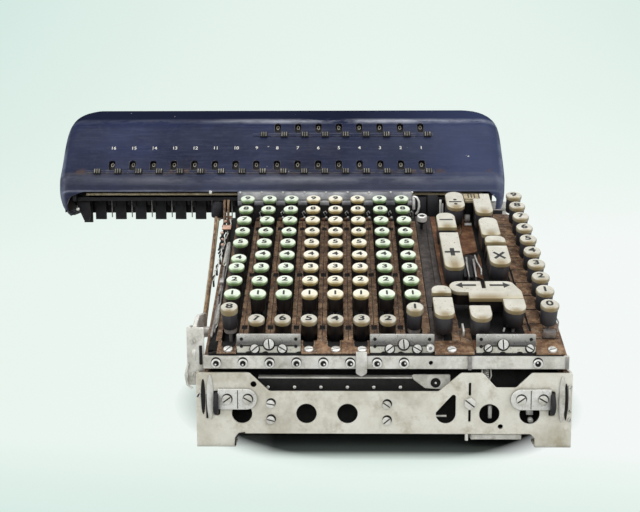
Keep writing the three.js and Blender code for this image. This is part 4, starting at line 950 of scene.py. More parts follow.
rng = random.Random(7)
for rib in range(9):
    x0, x1 = rib_edges[2 * rib], rib_edges[2 * rib + 1]
    outer = rib in (0, 8)
    middle = (x0 + x1) / 2 + rng.uniform(-0.3, 0.3)
    if outer:
        halves = [(x1 - 3.8, x1, 1)] if rib == 0 else [(x0, x1, -1)]
    else:
        halves = [(x0, middle - 0.25, -1), (middle + 0.25, x1, 1)]
    for left, right, side in halves:
        cuts = [-31.8, *(edge for hole in HOLES for edge in hole if not outer), STRIP_END]
        narrow = 0 if outer else 1.3
        for y0, y1 in zip(cuts[::2], cuts[1::2]):
            strips.slab(notched(left, right, y0, y1, side, rng), DECK_TOP - STRIP,
                DECK_TOP - rng.uniform(0, 0.25), KEYBOARD, 0.22, 2)
        for y0, y1 in zip(cuts[1:-1:2], cuts[2::2]):
            bridge = (left, left + narrow) if side < 0 else (right - narrow, right)
            strips.box(bridge, (y0 - 0.2, y1 + 0.2), (DECK_TOP - STRIP, DECK_TOP - 0.2), KEYBOARD, 0.15)
    if not outer:
        knob_at = on_keys(middle - 0.6, 150, DECK_TOP - STRIP)
        pin_at = on_keys(middle + 1.4, 152.6, DECK_TOP - 0.4)
        knobs.turned([(1.2, 0), (1.5, 0.4), (1.5, 2.4), (1, 3)], knob_at, 12)
        pins.turned([(0.9, 0), (1.2, 0.4), (1.2, 1.6), (0.6, 2.2)], pin_at, 10)

DECK_EDGE = -47.2
strip_edges = [-74.7, -60.8, -42.6, -24.1, -14.6, -4.8, 13.9, 33.8, 52.2, DECK_SPLIT]
free_edges = {(-74.7, -60.8), (-14.6, -4.8), (-4.8, 13.9), (13.9, 33.8)}
for x0, x1 in zip(strip_edges, strip_edges[1:]):
    low = DECK_EDGE if (x0, x1) in free_edges else DECK_FRONT
    edge = [(x0 + 0.15, low), (x1 - 0.15, low), (x1 - 0.15, CROSS_END)]
    for column in range(1, 9):
        if x0 < column_x(column) < x1:
            right, left = min(column_x(column) + MOUTH, x1 - 1), max(column_x(column) - MOUTH, x0 + 1)
            edge += [(right, CROSS_END), *arc(right - 3, -37.4, 3, 0, -90, 4),
                *arc(left + 3, -37.4, 3, -90, -180, 4), (left, CROSS_END)]
    edge.append((x0 + 0.15, CROSS_END))
    strips.slab(edge, DECK_TOP - STRIP, DECK_TOP, KEYBOARD, 0.2)
strips.piece("digit_deck_strips", BROWN, ["digit_deck"])
pieces("digit_deck", {"pins": (pins, BRIGHT), "knobs": (knobs, RUST)})

# A dark sheet of painted shade between the deck's front edge and the rail, with a wavy lower line
gap_shade = Shape()
gap_shade.box((-80.5, 171), (-34.6, -32.2), (66.4, 68.6))
for k in range(21):
    gap_shade.turned([(2.6, -1.2), (3, -0.8), (3, 0.8), (2.6, 1.2)], on_front(-76 + 12 * k, -33.4, 66.6), 20)
gap_shade.piece("front_rail_filler", SHADE_BLACK)

# Levers, wires and springs along the deck's left edge
levers, wires, springs, pink = shapes(4)
for x, y0, y1, low, high, radius in (
    (-80.2, -30, 22, -18.4, -17.2, 0.9),
    (-78.6, -24, 46, -18.8, -17.8, 0.75),
    (-79.8, 26, 64, -17.8, -16.8, 0.9),
    (-78.2, 50, 96, -18.6, -17.4, 0.7),
):
    levers.rod([(x, y0, low), (x + 0.8, (y0 + y1) / 2, (low + high) / 2 + 0.6), (x + 0.2, y1, high)],
        radius, KEYBOARD, 8)
levers.box((-81, -77.4), (38, 44.5), (-18, -14.5), KEYBOARD, 0.4)
springs.coil((-79.6, 66, -17), (-79.2, 104, -16.4), 1.5, 0.42, 17, KEYBOARD, 3)
springs.coil((-77.6, -20, -17.4), (-77.8, 12, -17), 1.1, 0.34, 15, KEYBOARD, 3)
for k, (x, out) in enumerate(((-86.6, -19), (-84.9, -16.4), (-83.2, -20.4), (-85.6, -13.4))):
    wires.rod([(x + 1.1 * math.sin(1.9 * t + 1.7 * k), 88 + 6 * t, out + 1.3 * math.cos(1.6 * t + k))
        for t in range(11)], 0.75, KEYBOARD, 8)
for k in range(6):
    stud_at = on_keys(-83.4 - 1.2 * (k % 3), 92 + 10 * k, -12.6 - 0.8 * (k % 2))
    pink.turned([(1.1, 0), (1.4, 0.3), (1.4, 1.4), (0.9, 1.9)], stud_at, 12)
pink.box((-86.4, -78.9), (117.5, 124.5), (-12.2, -10.8), KEYBOARD, 0.4)
for k in range(6):
    x, y = -86.4 + 0.9 * k, 44 + 17 * k
    springs.rod([(x, y, -17), (x + 1.6, y + 4, -14.6), (x + 0.4, y + 9, -13.2), (x + 1.8, y + 15, -16)],
        0.45, KEYBOARD, 8)
    wires.rod([(x + 1, y - 6, -18.4), (x - 0.4, y + 5, -16.6), (x + 1.2, y + 12, -18)], 0.8, KEYBOARD, 8)
pieces("left_edge", {
    "levers": (levers, LINK), "springs": (springs, NICKEL),
    "wires": (wires, BLACK), "plate": (pink, COPPER),
})

# Function deck: plates with seams, a worn strip and brown bricks over a dark base, painted shade in the gaps
# between them
base, greys, browns, rusts = shapes(4)
FUNCTION_LEFT, FUNCTION_RIGHT = 79.2, 171.7
PLATE_FOOT = -21.7
# The rows of bricks start here, beside a seam that leans a little
BRICKS_FRONT = -29
SEAM_X, SEAM_LEAN = 151.4, 0.026
base.box((FUNCTION_LEFT, FUNCTION_RIGHT), (DECK_FRONT, 158), (-23, -21.6), KEYBOARD, 0.2)
base.piece("function_deck_base", SHADE_BLACK, ["function_deck"])


def plate(shape, points, top=DECK_TOP):
    shape.slab(points, PLATE_FOOT, top, KEYBOARD, 0.25)


def block(shape, x, y, top=DECK_TOP):
    shape.box(x, y, (PLATE_FOOT, top), KEYBOARD)


block(greys, (79.4, 87.6), (12, 157), -20.1)
plate(greys, [(87.9, -6), (93.6, -6), (92.2, 60), (92, 157), (87.9, 157)], -20.05)
block(greys, (79.4, 87.6), (-31, 11.6), -20.3)
plate(rusts, [(94, -4), (99.6, -4), (97.4, 84), (96.6, 156), (92.4, 156), (92.7, 60)])
block(browns, (80, 108), (DECK_EDGE, -32))
plate(browns, [(93.9, -31.6), (99.4, -31.6), (99.9, -4.6), (93.9, -4.6)])
block(browns, (99.8, 108), (-31.6, -16), -20.2)
plate(rusts, [(108.3, DECK_FRONT), (150.5, DECK_FRONT), (152.6, -20), (150.2, -20), (149.4, -31),
    (108.3, -31)])
block(rusts, (100, 106), (58, 134), -20.1)
plate(rusts, [(112, 88), (119, 92), (127, 96), (127.6, 156), (119.6, 156), (118, 128), (111.4, 112)])
plate(browns, [(106.5, 118), (110.8, 112), (117.6, 129), (119.2, 156), (106.5, 156)], -20.4)
plate(greys, [(107, 56), (113, 52), (122, 60), (126.6, 86), (119, 91), (111.6, 87), (107, 92)], -20.3)
plate(rusts, [(121.4, 56), (126.4, 52), (128.4, 84), (127, 92), (124.2, 74)])
rng = random.Random(11)
for step in range(10):
    y0 = BRICKS_FRONT + step * PITCH
    seam = SEAM_X - (y0 - BRICKS_FRONT) * SEAM_LEAN
    for x0, x1 in ((seam + 0.9, 161.5), (165.5, 171.5)):
        block(browns, (x0, x1), (y0 + 0.6, y0 + PITCH - 0.6), -20 - rng.uniform(0, 0.5))
    plate(browns, [(147.4, y0 + 0.4), (seam - 0.3, y0 + 0.4), (seam - 0.8, y0 + PITCH - 0.4),
        (147, y0 + PITCH - 0.4)], -20.2 - rng.uniform(0, 0.5))
    for low, high in ((0.5, 6.4), (13.5, 18.5)):
        block(browns, (161.9, 165.1), (y0 + low, y0 + high), -20.2 - rng.uniform(0, 0.5))
block(browns, (151.6, 171.5), (DECK_EDGE, -29.6))
pieces("function_deck", {
    "greys": (greys, DARK), "browns": (browns, BROWN),
    "rusts": (rusts, RUST),
}, ["function_deck"])

# Levers and wires between the plus and times keys, and the parts behind the function keys
bright, dull, beige, dark = shapes(4)
for shape, x, width, y0, y1, top in (
    (dark, 110.8, 2.4, 50, 82, -16.4),
    (dull, 113.9, 1, 47, 78, -15),
    (dark, 115.8, 2.4, 50, 84, -17),
    (dull, 119.4, 1.4, 48, 76, -15.6),
):
    shape.slab([(x, y0), (x + width, y0), (x + width + 1.2, y1), (x + 0.6, y1)], DECK_TOP, top, KEYBOARD)
bright.rod([(122.8, 82, -16), (123.6, 72, -16.4), (125.8, 62, -17), (125.2, 55, -18)], 0.7, KEYBOARD, 8)
bright.rod([(114.4, 48, -14.8), (114.2, 70, -15)], 0.4, KEYBOARD, 8)
beige.box((120.4, 133.4), (149.8, 158.6), (-3.4, 1.2), KEYBOARD, 0.5)
beige.box((121.2, 132.6), (148.6, 150.2), (-2.6, -0.4), KEYBOARD)
for x in (124, 126.6, 129.2):
    dark.box((x, x + 0.9), (150.6, 158), (1.1, 1.35), KEYBOARD, 0.05)
dark.box((121.4, 132.4), (150, 158), (-19.8, -3.2), KEYBOARD)
boxes(DATUM, (
    (dark, (80.4, 91.2), (173, 180), (139, 162), 0.5),
    (dark, (92, 101.4), (172, 180), (139, 163.5), 0.5),
    (dark, (143.6, 158.4), (166.2, 170), (139, 150.4), 0.4),
    (bright, (102, 104), (165, 167.4), (148, 160.4), 0.4),
    (bright, (104.4, 105.6), (166, 167.4), (145, 157), 0.3),
))
dull.rod([(142.8, 166, 151.2), (160.5, 166, 151.2)], 0.6, DATUM, 10)
boxes(KEYBOARD, (
    (bright, (121.6, 126.4), (145.6, 149), (-19.8, -13.6), 0.8),
    (bright, (121, 127.2), (138.4, 141.6), (-19.8, -18.2), 0.5),
    (bright, (101.4, 103), (-27.4, -17), (-20, -15.2), 0.3),
))
bright.rod([(131.6, -22, -19), (132.4, -21, -16.4)], 0.7, KEYBOARD, 8)
dull.coil((171, 66, -17.6), (171, 84, -16.4), 0.7, 0.25, 12, KEYBOARD, 3)
dull.rod([(170, -24, -18), (171, -20, -12), (169.4, -18, -9.6)], 0.6, KEYBOARD, 8)
pieces("function_deck", {
    "bits": (bright, BRIGHT), "levers": (dull, LINK),
    "lever_head": (beige, BEIGE), "dark_parts": (dark, BLACK),
})

# Front plate
FRONT_Y = -36
PLATE_PLANE = on_front(0, FRONT_Y, 0)
OUTLINE = [
    (-89.6, 0), (-61.6, 0), (-61.6, 6.7), (-58.6, 9.7), (148.8, 9.7), (151.8, 6.7), (151.8, 0), (177.6, 0),
    (177.6, 54.4), (149, 54.4), (138, 43.7), (123.8, 43.7), (114.1, 54.4), (99, 54.4), (83.1, 40.8),
    (-37.4, 40.8), (-51.7, 54.4), (-89.6, 54.4),
]
CORNERS = [0.5, 0.5, 0.3, 2, 2, 0.3, 0.5, 0.5, 1, 3, 2, 2, 3, 3, 3, 3, 3, 3]
# Round ports, two pin holes, two narrow slots, the buffer discs' slots and the keyhole
holes = [circle(x, 24.4, 7.3, 32) for x in (-57.1, -11, 18.3, 119.2, 147.8)]
holes += [circle(127.2, 15.2, 1.8, 16), circle(-48.7, 45.9, 2.2, 16)]
holes += [rectangle(104.2, 106, 37.8, 47.3, 0.8), rectangle(104.2, 106, 18.7, 27.5, 0.8)]
holes += [rectangle(x - 2.1, x + 2.1, 23.4, 41, 1) for x in (-75, 163.3)]
holes.append([*arc(88.2, 24.3, 7.1, 170, 360, 14), *arc(93.6, 36.8, 1.7, 0, 140, 6)])
front = Shape()
front.sheet(filleted(OUTLINE, CORNERS, 4), holes, -2.2, 0, PLATE_PLANE, 0.35)
for x0, x1 in ((-89.6, -61.6), (151.8, 177.6)):
    front.box((x0, x1), (-34.3, -21.8), (0, 2.2), DATUM, 0.5)
for x0 in (-89.6, 175.4):
    front.box((x0, x0 + 2.2), (-34.4, -9.8), (0, 54.4), DATUM, 0.5)
front.piece("front_plate_sheet", PLATE, ["front_plate"])

plate_screws, shadows = shapes(2)
for (x, z), turn in zip(((-36.6, 31.6), (-36.6, 19.8), (46.1, 31.1), (46.1, 19.3)), (-10, -14, -35, 40)):
    plate_screws.screw(on_front(x, FRONT_Y, z, turn), 3, 1.4)
    shadows.slab(circle(0.4, 0.9, 3.4, 20), 0, 0.3, on_front(x, FRONT_Y, z), 0.1, 1)
plate_screws.screw(on_front(105.1, FRONT_Y, 32.6, -38), 4.4, 2.4, 0.9, outline=circle(0, 0, 4.4, 6))
plate_screws.screw(on_front(-88, FRONT_Y, 38, 60), 1.6, 1)
# Black slot floors: painted shade
plate_screws.slot_floors().piece("front_plate_slots", SHADE_BLACK)
plate_screws.piece("front_plate_screws", NICKEL, ["front_plate"])


def lens(half_width, half_height):
    """An upright almond outline"""
    angles = [2 * math.pi * k / 18 for k in range(18)]
    return [(half_width * math.cos(a), half_height * math.sin(a)) for a in angles]


# Folds, brackets and small bits at the plate's two ends
folds = Shape()
for shape, outline, height, x, z, bevel, steps in (
    (folds, lens(2.5, 16.5), 0.9, -79.6, 36.5, 0.4, 2),
    (shadows, lens(1.6, 13), 0.5, -84.6, 37, 0.2, 1),
    (shadows, rectangle(-0.7, 0.7, -9, 9, 0.5), 0.4, -81.9, 30, 0.15, 1),
    (folds, lens(2.2, 17), 0.9, 170.2, 35.5, 0.4, 2),
    (shadows, lens(1.3, 13.5), 0.5, 173.1, 33.5, 0.2, 1),
    (folds, rectangle(-0.8, 0.8, -9, 9, 0.6), 1.1, 175.4, 36, 0.3, 2),
):
    shape.slab(outline, 0, height, on_front(x, FRONT_Y, z), bevel, steps)
for x, z, turn in ((175.8, 44.5, 30), (175.6, 26.8, -20), (176.1, 20.4, 70)):
    folds.screw(on_front(x, FRONT_Y, z, turn), 1.5, 1.1, 0.5)
folds.box((-96.4, -84), (-31, -29), (44, 86), DATUM, 0.5)
folds.box((-96.4, -94.6), (-30, -12), (46, 84), DATUM, 0.5)
folds.rod([(-95.5, -31.5, 60), (-97.3, -33, 52), (-96.2, -33, 45), (-92.6, -32.5, 42)], 0.8, DATUM, 8)
for z in (52, 76):
    folds.screw(on_front(-91.6, -31, z, 25 + z), 1.7, 1, 0.6)
shadows.slab(rectangle(-1.1, 1.1, -7, 7, 0.6), 0, 0.3, on_front(-86.4, -31, 66), 0.1, 1)
shadows.rod([(-62.1, FRONT_Y - 0.1, 1), (-61.7, FRONT_Y - 0.1, 6.6), (-59.4, FRONT_Y - 0.1, 9.8),
    (-55, FRONT_Y - 0.1, 10.4)], 0.55, DATUM, 8)
folds.box((106.4, 142.8), (-33.2, -20), (4.8, 9.5), DATUM, 0.6)
folds.turned([(1.2, 0), (1.2, 4.6), (0.9, 5)], DATUM @ shifted(103.3, -34.8, 4.9), 14)
pieces("front_plate", {"fittings": (folds, NICKEL), "shadow_gaps": (shadows, SHADE_BLACK)})

# Inside: a dark bulkhead, dark bars and a dark plate, painted shade behind the front's openings, with a
# selector bar, rods, discs and loose fittings, for the most part invented
inside, trims, whites, rods = shapes(4)
boxes(DATUM, (
    (inside, (-81, 171.5), (-14, -12.5), (4, 58), 0.3),
    (inside, (-46, 88), (-26, -24.5), (33, 47.9), 0.3),
    (trims, (-46, 88), (-26.4, -20), (47.7, 48.9), 0.25),
    (trims, (-46, 66), (-26.3, -25.6), (35, 35.7), 0.1),
))
for i in range(6):
    whites.turned([(1.2, 0), (1.2, 0.4), (0.6, 0.8)], on_front(-38.9 + PITCH * i, -26, 41.3), 12)
trims.sheet(filleted([(64, 50.2), (66, 47), (74, 41), (88, 40), (92, 44), (92, 51.2), (66, 51.2)], 1.2, 3),
    [circle(81.6, 44.9, 3.6, 20)], 0, 1.3, on_front(0, -26.2, 0), 0.3)
inside.turned([(3.4, 0), (3.4, 0.6), (2.2, 0.6), (1.9, 1)], on_front(81.6, -26.3, 44.9), 20)
whites.turned([(0.8, 0), (0.8, 1.4)], on_front(81.6, -26.3, 44.9), 10)
trims.coil((117.4, -28, 57), (117.4, -28, 47), 1.7, 0.45, 7)
trims.box((114, 115.2), (-28.6, -26.4), (46.4, 57))
trims.rod([(120.6, -26, 57), (121.4, -26, 50), (120, -25, 46)], 0.6, DATUM, 8)
whites.box((119.6, 122.4), (-27, -25), (18.5, 28), DATUM, 0.6)
whites.box((147, 152), (-27, -25), (21.2, 26.6), DATUM, 0.4)
whites.turned([(1.6, 0), (2, 0.5), (2, 3), (1.4, 3.6)], on_front(149.6, -27, 18.2), 14)
trims.rod([(79, -24, 19.5), (90, -24, 19.5)], 0.8, DATUM, 8)
trims.turned([(1.4, 0), (1.4, 1.2), (0.8, 1.6)], on_front(90.6, -24, 36), 12)
DISC_SHAFT = (60, 38)
for y, z, radius in ((4, 20, 3), (60, 18, 3), (120, 20, 3), (*DISC_SHAFT, 4.5), (235, 25, 3)):
    rods.rod([(-80.8, y, z), (171.3, y, z)], radius, DATUM, 16)
discs_at = DATUM @ shifted(0, *DISC_SHAFT) @ spin(90, "Y")
for column in range(1, 9):
    x = column_x(column)
    half = [(9, 3), (15.4, 3), (16, 2.4)]
    rods.turned([(r, x - z) for r, z in half] + [(r, x + z) for r, z in half[::-1]], discs_at, 32)
    inside.box((x - 1.2, x + 1.2), (-10, 118), (-60, -52), KEYBOARD)
    rods.box((x + 3, x + 4), (-6, 112), (-58, -54), KEYBOARD, 0.2)
pieces("interior", {
    "dark_parts": (inside, SHADE_BLACK), "bright_parts": (trims, NICKEL),
    "studs": (whites, BRIGHT), "rods": (rods, LINK),
})

# Lugs with their buffer discs
LUG_Z = 35.5
LUG_RADIUS = 7.5
LUG_FACE = FRONT_Y - 2.3
LUG_PLANE = on_front(0, LUG_FACE, 0)

for side, inner, disc_x, screws in ((-1, -46.2, -75, (-67.5, -52.8)), (1, 133.9, 163.3, (141, 156.5))):
    name = "left_lug" if side < 0 else "right_lug"
    body, heads, disc, shadows_and_groove = shapes(4)
    centre = inner + side * LUG_RADIUS
    outer = disc_x - side
    start = -90 if side < 0 else 90
    outline = arc(centre, LUG_Z, LUG_RADIUS, start, start + 180, 16)
    outline += [(outer, LUG_Z - side * LUG_RADIUS), (outer, LUG_Z + side * LUG_RADIUS)]
    body.slab(outline, 0.3, 2.3, PLATE_PLANE, 0.45, 3)
    for x, turn in zip(screws, (35, -30)):
        heads.screw(on_front(x, LUG_FACE, LUG_Z, turn), 3.4, 1.6, 0.9)
        # Dark rings painted as shadows under the screws, and a dark line for the lug's groove
        shadows_and_groove.slab(circle(0.3, 0.5, 3.8, 20), 0, 0.3, on_front(x, LUG_FACE, LUG_Z), 0.1, 1)
    shadows_and_groove.slab(rectangle(centre + side * 6.4, centre + side * 6.4 + 0.5, 28.8, 42.2, 0.2), 0, 0.15,
        LUG_PLANE, 0, 1)
    shadows_and_groove.piece(f"{name}_rims", SHADE_BLACK)
    disc.turned([(7.4, -1.5), (8.2, -0.9), (8.2, 0.9), (7.4, 1.5)], on_side(disc_x, FRONT_Y, 32.2, 1), 36)
    body.piece(f"{name}_plate", BRIGHT, [name])
    # Black slot floors: painted shade
    heads.slot_floors().piece(f"{name}_slots", SHADE_BLACK)
    pieces(name, {"screws": (heads, NICKEL), "disc": (disc, RUBBER)}, [name])

# Front rail
rail, nuts, latches, heads, shadows_and_recesses = shapes(5)
RAIL_FACE = -35
RAIL_PLANE = on_front(0, RAIL_FACE, 0)
RAIL_LEFT, RAIL_RIGHT, RAIL_LOW, RAIL_HIGH = -84.3, 175, 57, 66.5
NUT_Z = 61
rail_holes = [circle(77.3, 61.4, 1.5, 14), rectangle(104.2, 105.4, 59, 66, 0.4),
    rectangle(172.8, 173.9, 58.6, 65.6, 0.4)]
rail.sheet(rectangle(RAIL_LEFT, RAIL_RIGHT, RAIL_LOW, RAIL_HIGH, 0.6), rail_holes, -3, 0, RAIL_PLANE, 0.4)
for x in [-75.1 + PITCH * i for i in range(8)] + [152.8]:
    at = on_front(x, RAIL_FACE, NUT_Z, 20 + x)
    # A dark disc set high behind each nut, painted shadow, and a dark hole in the nut
    shadows_and_recesses.slab(circle(0, 0, 3.6, 28), 0, 0.2, on_front(x, RAIL_FACE, NUT_Z + 0.9), 0.05, 1)
    nuts.turned([(3.2, 0), (3.4, 0.3), (3.4, 0.8), (3, 1.1), (2.2, 1.1), (2, 0.3), (1.9, 0.3)], at, 24)
    shadows_and_recesses.slab(circle(0, 0, 2, 18), 0.3, 0.5, at, 0.05, 1)
    nuts.turned([(0.7, 0.5), (0.7, 0.8), (0.4, 1)], at @ shifted(0.4, -0.8, 0), 12)
pieces("front_rail", {"bar": (rail, NICKEL), "nuts": (nuts, BRIGHT)}, ["front_rail"])
tab = Shape()
tab.box((103.4, 106), (-36.4, -34.8), (56.6, 66.4), DATUM, 0.4)
tab.box((172.2, 174.4), (-36.2, -34.8), (57, 66), DATUM, 0.4)
tab.piece("front_rail_tabs", LINK)

LATCH_FRONT = -34
LATCH_PLANE = on_front(0, LATCH_FRONT, 0)
LATCH_LOW, LATCH_HIGH, PIN_Z = 65.8, 82, 78.4
# X range of each latch plate, and the X, Z and radius of its screws
LATCHES = [
    ((-60.4, -15), ((-47.6, 71.8, 3), (-37.5, 75.1, 3.6), (-28, 71.8, 3))),
    ((34.2, 79.6), ((48.1, 71.8, 3), (58, 75.1, 3.6), (67.6, 71.8, 3))),
    ((109.2, 151.2), ((117.6, 72.4, 2.6), (128.1, 75.1, 3.6), (147, 72.4, 2.6))),
]
for (x0, x1), screws in LATCHES:
    pins_x = (x0 + 3.4, x1 - 3.4)
    pin_holes = [circle(x, PIN_Z, 0.9, 12) for x in pins_x]
    latches.sheet(rectangle(x0, x1, LATCH_LOW, LATCH_HIGH, 0.6), pin_holes, 0, 2,
        on_front(0, LATCH_FRONT + 2, 0), 0.35)
    # The slit and pin holes in black, and dark rings set low round the screws as painted shadows
    shadows_and_recesses.slab(rectangle(x0 + 3, x1 - 3, 73.3, 73.9, 0.2), 0, 0.2, LATCH_PLANE, 0.05, 1)
    for x in pins_x:
        for z in (PIN_Z, 73.2):
            shadows_and_recesses.slab(circle(x, z, 1.2, 12), 0, 0.25, LATCH_PLANE, 0.05, 1)
    for i, (x, z, radius) in enumerate(screws):
        shadows_and_recesses.slab(circle(x, z - 0.7, radius + 0.8, 24), 0, 0.35, LATCH_PLANE, 0.1, 1)
        heads.screw(on_front(x, LATCH_FRONT - 0.3, z, 40 + 55 * i), radius, 1.4)
heads.turned([(2.7, 0), (2.7, 3.4), (2.2, 4), (1.2, 4), (1.2, 2.6), (0.6, 2.6)],
    on_front(76.6, LATCH_FRONT, 72.6), 20)
latches.piece("front_rail_latches", LATCH, ["front_rail"])
shadows_and_recesses.piece("front_rail_recesses", SHADE_BLACK)
strap = Shape()
strap_outline = [(24.2, 54), (28.1, 51.5), (32, 54), (32, 69.6), (24.2, 69.6)]
strap.slab(filleted(strap_outline, [1, 1, 1, 0.5, 0.5], 3), -0.2, 1, RAIL_PLANE, 0.25)
strap.piece("front_rail_strap", NICKEL, ["front_rail"])
for x, turn in ((-66.7, 60), (-9.2, 10), (9.9, 15), (28.6, 5), (92.2, 20), (163.3, 25)):
    heads.screw(on_keys(x, -43.6, DECK_TOP, turn), 3.2, 1.2, 0.7)
# Black slot floors: painted shade
heads.slot_floors().piece("front_rail_slots", SHADE_BLACK)
heads.piece("front_rail_screws", BRIGHT, ["front_rail"])

# Rear key plate: a bright face with a fold, over a black lower part that is painted shade under the fold
back, teeth, low = shapes(3)
boxes(DATUM, (
    (back, (-77.5, 77.5), (161.2, 163.2), (155.6, 167.6), 0.4),
    (back, (-77.5, 77.5), (161.4, 174.2), (165.6, 167.6), 0.4),
    (back, (-77.3, 77.3), (160.7, 161.4), (156, 160.2), 0.25),
    (low, (-77.3, 77.3), (161.5, 163), (135.5, 156), 0.3),
    (low, (-77.3, 77.3), (161, 161.4), (160.3, 160.8), 0.05),
))
for i in range(9):
    x = -FIELD_EDGE + 1.2 + i * PITCH
    teeth.box((x - 0.8, x + 0.8), (160.4, 161.6), (166.6, 168.2), DATUM, 0.25)
for i in range(8):
    x = column_x(8 - i) + 9.5
    teeth.rod([(x, 160.6, 147), (x - 0.8, 159.4, 149.4), (x + 0.6, 158.8, 151), (x + 1.8, 159.6, 149)],
        0.5, DATUM, 8)
curl = [(78.4, 160.8, 163.6), (81.4, 160.4, 163), (83.2, 160, 159.6), (83.6, 159.6, 155),
    (82.6, 159.4, 150.6), (80.4, 159.2, 148)]
teeth.rod(curl, 1.0, DATUM, 10)
teeth.box((77.6, 80.2), (160.4, 162.4), (152, 164.4), DATUM, 0.5)
pieces("rear_key_plate", {"sheet": (back, BLUED), "low": (low, SHADE_BLACK)}, ["rear_key_plate"])
teeth.piece("rear_key_plate_teeth", BRIGHT)

# Carriage cover
COVER_SIDE = [
    (190, 166), (190.6, 158), (196, 146), (206, 137), (234, 137), (262, 137), (266, 150), (266, 226),
    (263.5, 234), (256, 239.2), (243, 239.5), (232, 237), (223, 230), (192, 180),
]
# Each row's height on the sloping face and its number of windows
LOWER_ROW, UPPER_ROW = (11.4, 16), (50.9, 8)
# Half width, half height and corner radius of a window, and the drum that shows in it
WINDOW_WIDE, WINDOW_TALL, WINDOW_CORNER = 3, 5.1, 2.2
DRUM_DEPTH, DRUM_RADIUS = 15.7, 12.5
WALL = 1.9
END_RADIUS = 13
END_STEPS = 8
SECTION_POINTS = 160
COVER_RADII = [8, 9, 12, 12, 0, 6, 12, 12, 12, 12, 14, 12, 5, 7]
# The two ends' outer faces as height and X pairs
LEFT_END = [
    (136, -240.2), (150, -245.4), (168, -246.97), (190, -246), (214, -244.6), (227, -241), (236, -235),
    (240, -226),
]
RIGHT_END = [
    (136, 161), (150, 164.5), (175, 165.77), (198, 165), (220, 163), (231.5, 158), (238, 150), (240, 140),
]


def smooth_value(points, at):
    """A smooth curve through value pairs"""
    at = min(max(at, points[0][0]), points[-1][0])
    for i in range(len(points) - 1):
        if at <= points[i + 1][0]:
            break
    def slope(k):
        low, high = points[max(k - 1, 0)], points[min(k + 1, len(points) - 1)]
        return (high[1] - low[1]) / (high[0] - low[0])
    (a, p), (b, q) = points[i], points[i + 1]
    width = b - a
    t = (at - a) / width
    return (p * (2 * t ** 3 - 3 * t ** 2 + 1) + q * (3 * t ** 2 - 2 * t ** 3)
        + slope(i) * width * (t ** 3 - 2 * t ** 2 + t) + slope(i + 1) * width * (t ** 3 - t ** 2))


def resampled(points, count):
    """Points spread evenly along a closed outline, starting at the middle of its foot"""
    corners = [Vector(point) for point in points]
    start = min(range(len(corners)), key=lambda k: abs(corners[k].x - 234) + corners[k].y)
    corners = corners[start:] + corners[:start + 1]
    lengths = [(b - a).length for a, b in zip(corners, corners[1:])]
    total = sum(lengths)
    spread = []
    for k in range(count):
        rest = total * k / count
        for i, length in enumerate(lengths):
            if rest <= length:
                break
            rest -= length
        spread.append(corners[i].lerp(corners[i + 1], rest / lengths[i]))
    return spread


def cover_section(depth):
    """The cover's side outline so far inside its outer face"""
    radii = [max(radius - depth * 0.5, 2) if radius else 0 for radius in COVER_RADII]
    return resampled(filleted(inset(COVER_SIDE, depth), radii, 6), SECTION_POINTS)


def cover_skin(wall):
    """The cover as a closed skin whose ends round into the two end faces"""
    rings = []
    radius = END_RADIUS - wall
    for ends, sign in ((LEFT_END, 1), (RIGHT_END, -1)):
        for k in range(END_STEPS + 1):
            angle = math.pi / 2 * (k if sign < 0 else END_STEPS - k) / END_STEPS
            inward = sign * (wall + radius * (1 - math.sin(angle)))
            section = cover_section(wall + radius * (1 - math.cos(angle)))
            rings.append([(smooth_value(ends, z) + inward, y, z) for y, z in section])
    skin = Shape()
    rows = skin.rings(rings, DATUM, caps=False)
    for row in (rows[0], rows[-1]):
        for i in range(SECTION_POINTS // 2):
            across = (row[-(i + 1) % SECTION_POINTS], row[-i % SECTION_POINTS])
            skin.mesh.faces.new(list(dict.fromkeys((row[i], row[i + 1], *across))))
    return skin.bare_object("cover_skin")


def carve(target, shape):
    """Takes one closed shape out of an object"""
    cutter = shape if isinstance(shape, bpy.types.Object) else shape.bare_object("cutter")
    modifier = target.modifiers.new("carve", "BOOLEAN")
    modifier.operation = "DIFFERENCE"
    modifier.solver = "EXACT"
    modifier.object = cutter
    cutter.hide_render = True
    graph = bpy.context.evaluated_depsgraph_get()
    data = bpy.data.meshes.new_from_object(target.evaluated_get(graph))
    target.modifiers.clear()
    target.data = data
    bpy.data.objects.remove(cutter)


cover = cover_skin(0)
carve(cover, cover_skin(WALL))
opening = Shape()
opening.box((-243, 161.8), (197, 262), (130, 142), DATUM, 1.5)
carve(cover, opening)
lip = Shape()
lip_line = [(-238.5, 130), (157, 130), (157, 159), (150, 166), (-222, 166), (-234, 162), (-239.5, 153)]
lip.slab(filleted(lip_line, [0, 0, 4, 5, 9, 9, 7], 5), -215, -180, on_front(0, 0, 0), 0)
carve(cover, lip)
passage = Shape()
passage.slab([(-229.98, 224), (175, 224), (175, 262), (-229.98, 262)], 130, 157, DATUM, 0)
carve(cover, passage)
rear = Shape()
rear.slab([(-242.9, 258), (161.7, 258), (161.7, 270), (-242.9, 270)], 128, 154.4, DATUM, 0)
carve(cover, rear)
windows = Shape()
for index in range(1, LOWER_ROW[1] + 1):
    for rise, last in (LOWER_ROW, UPPER_ROW):
        if index <= last:
            x = window_x(index)
            window = rectangle(x - WINDOW_WIDE, x + WINDOW_WIDE, rise - WINDOW_TALL, rise + WINDOW_TALL,
                WINDOW_CORNER, steps=5)
            windows.slab(window, -4, 2, COVER_FACE, 0)
carve(cover, windows)
shell = Shape()
shell.from_object(cover)
shell.piece("carriage_cover_shell", ENAMEL, ["carriage_cover"], "carriage", sharp=28)

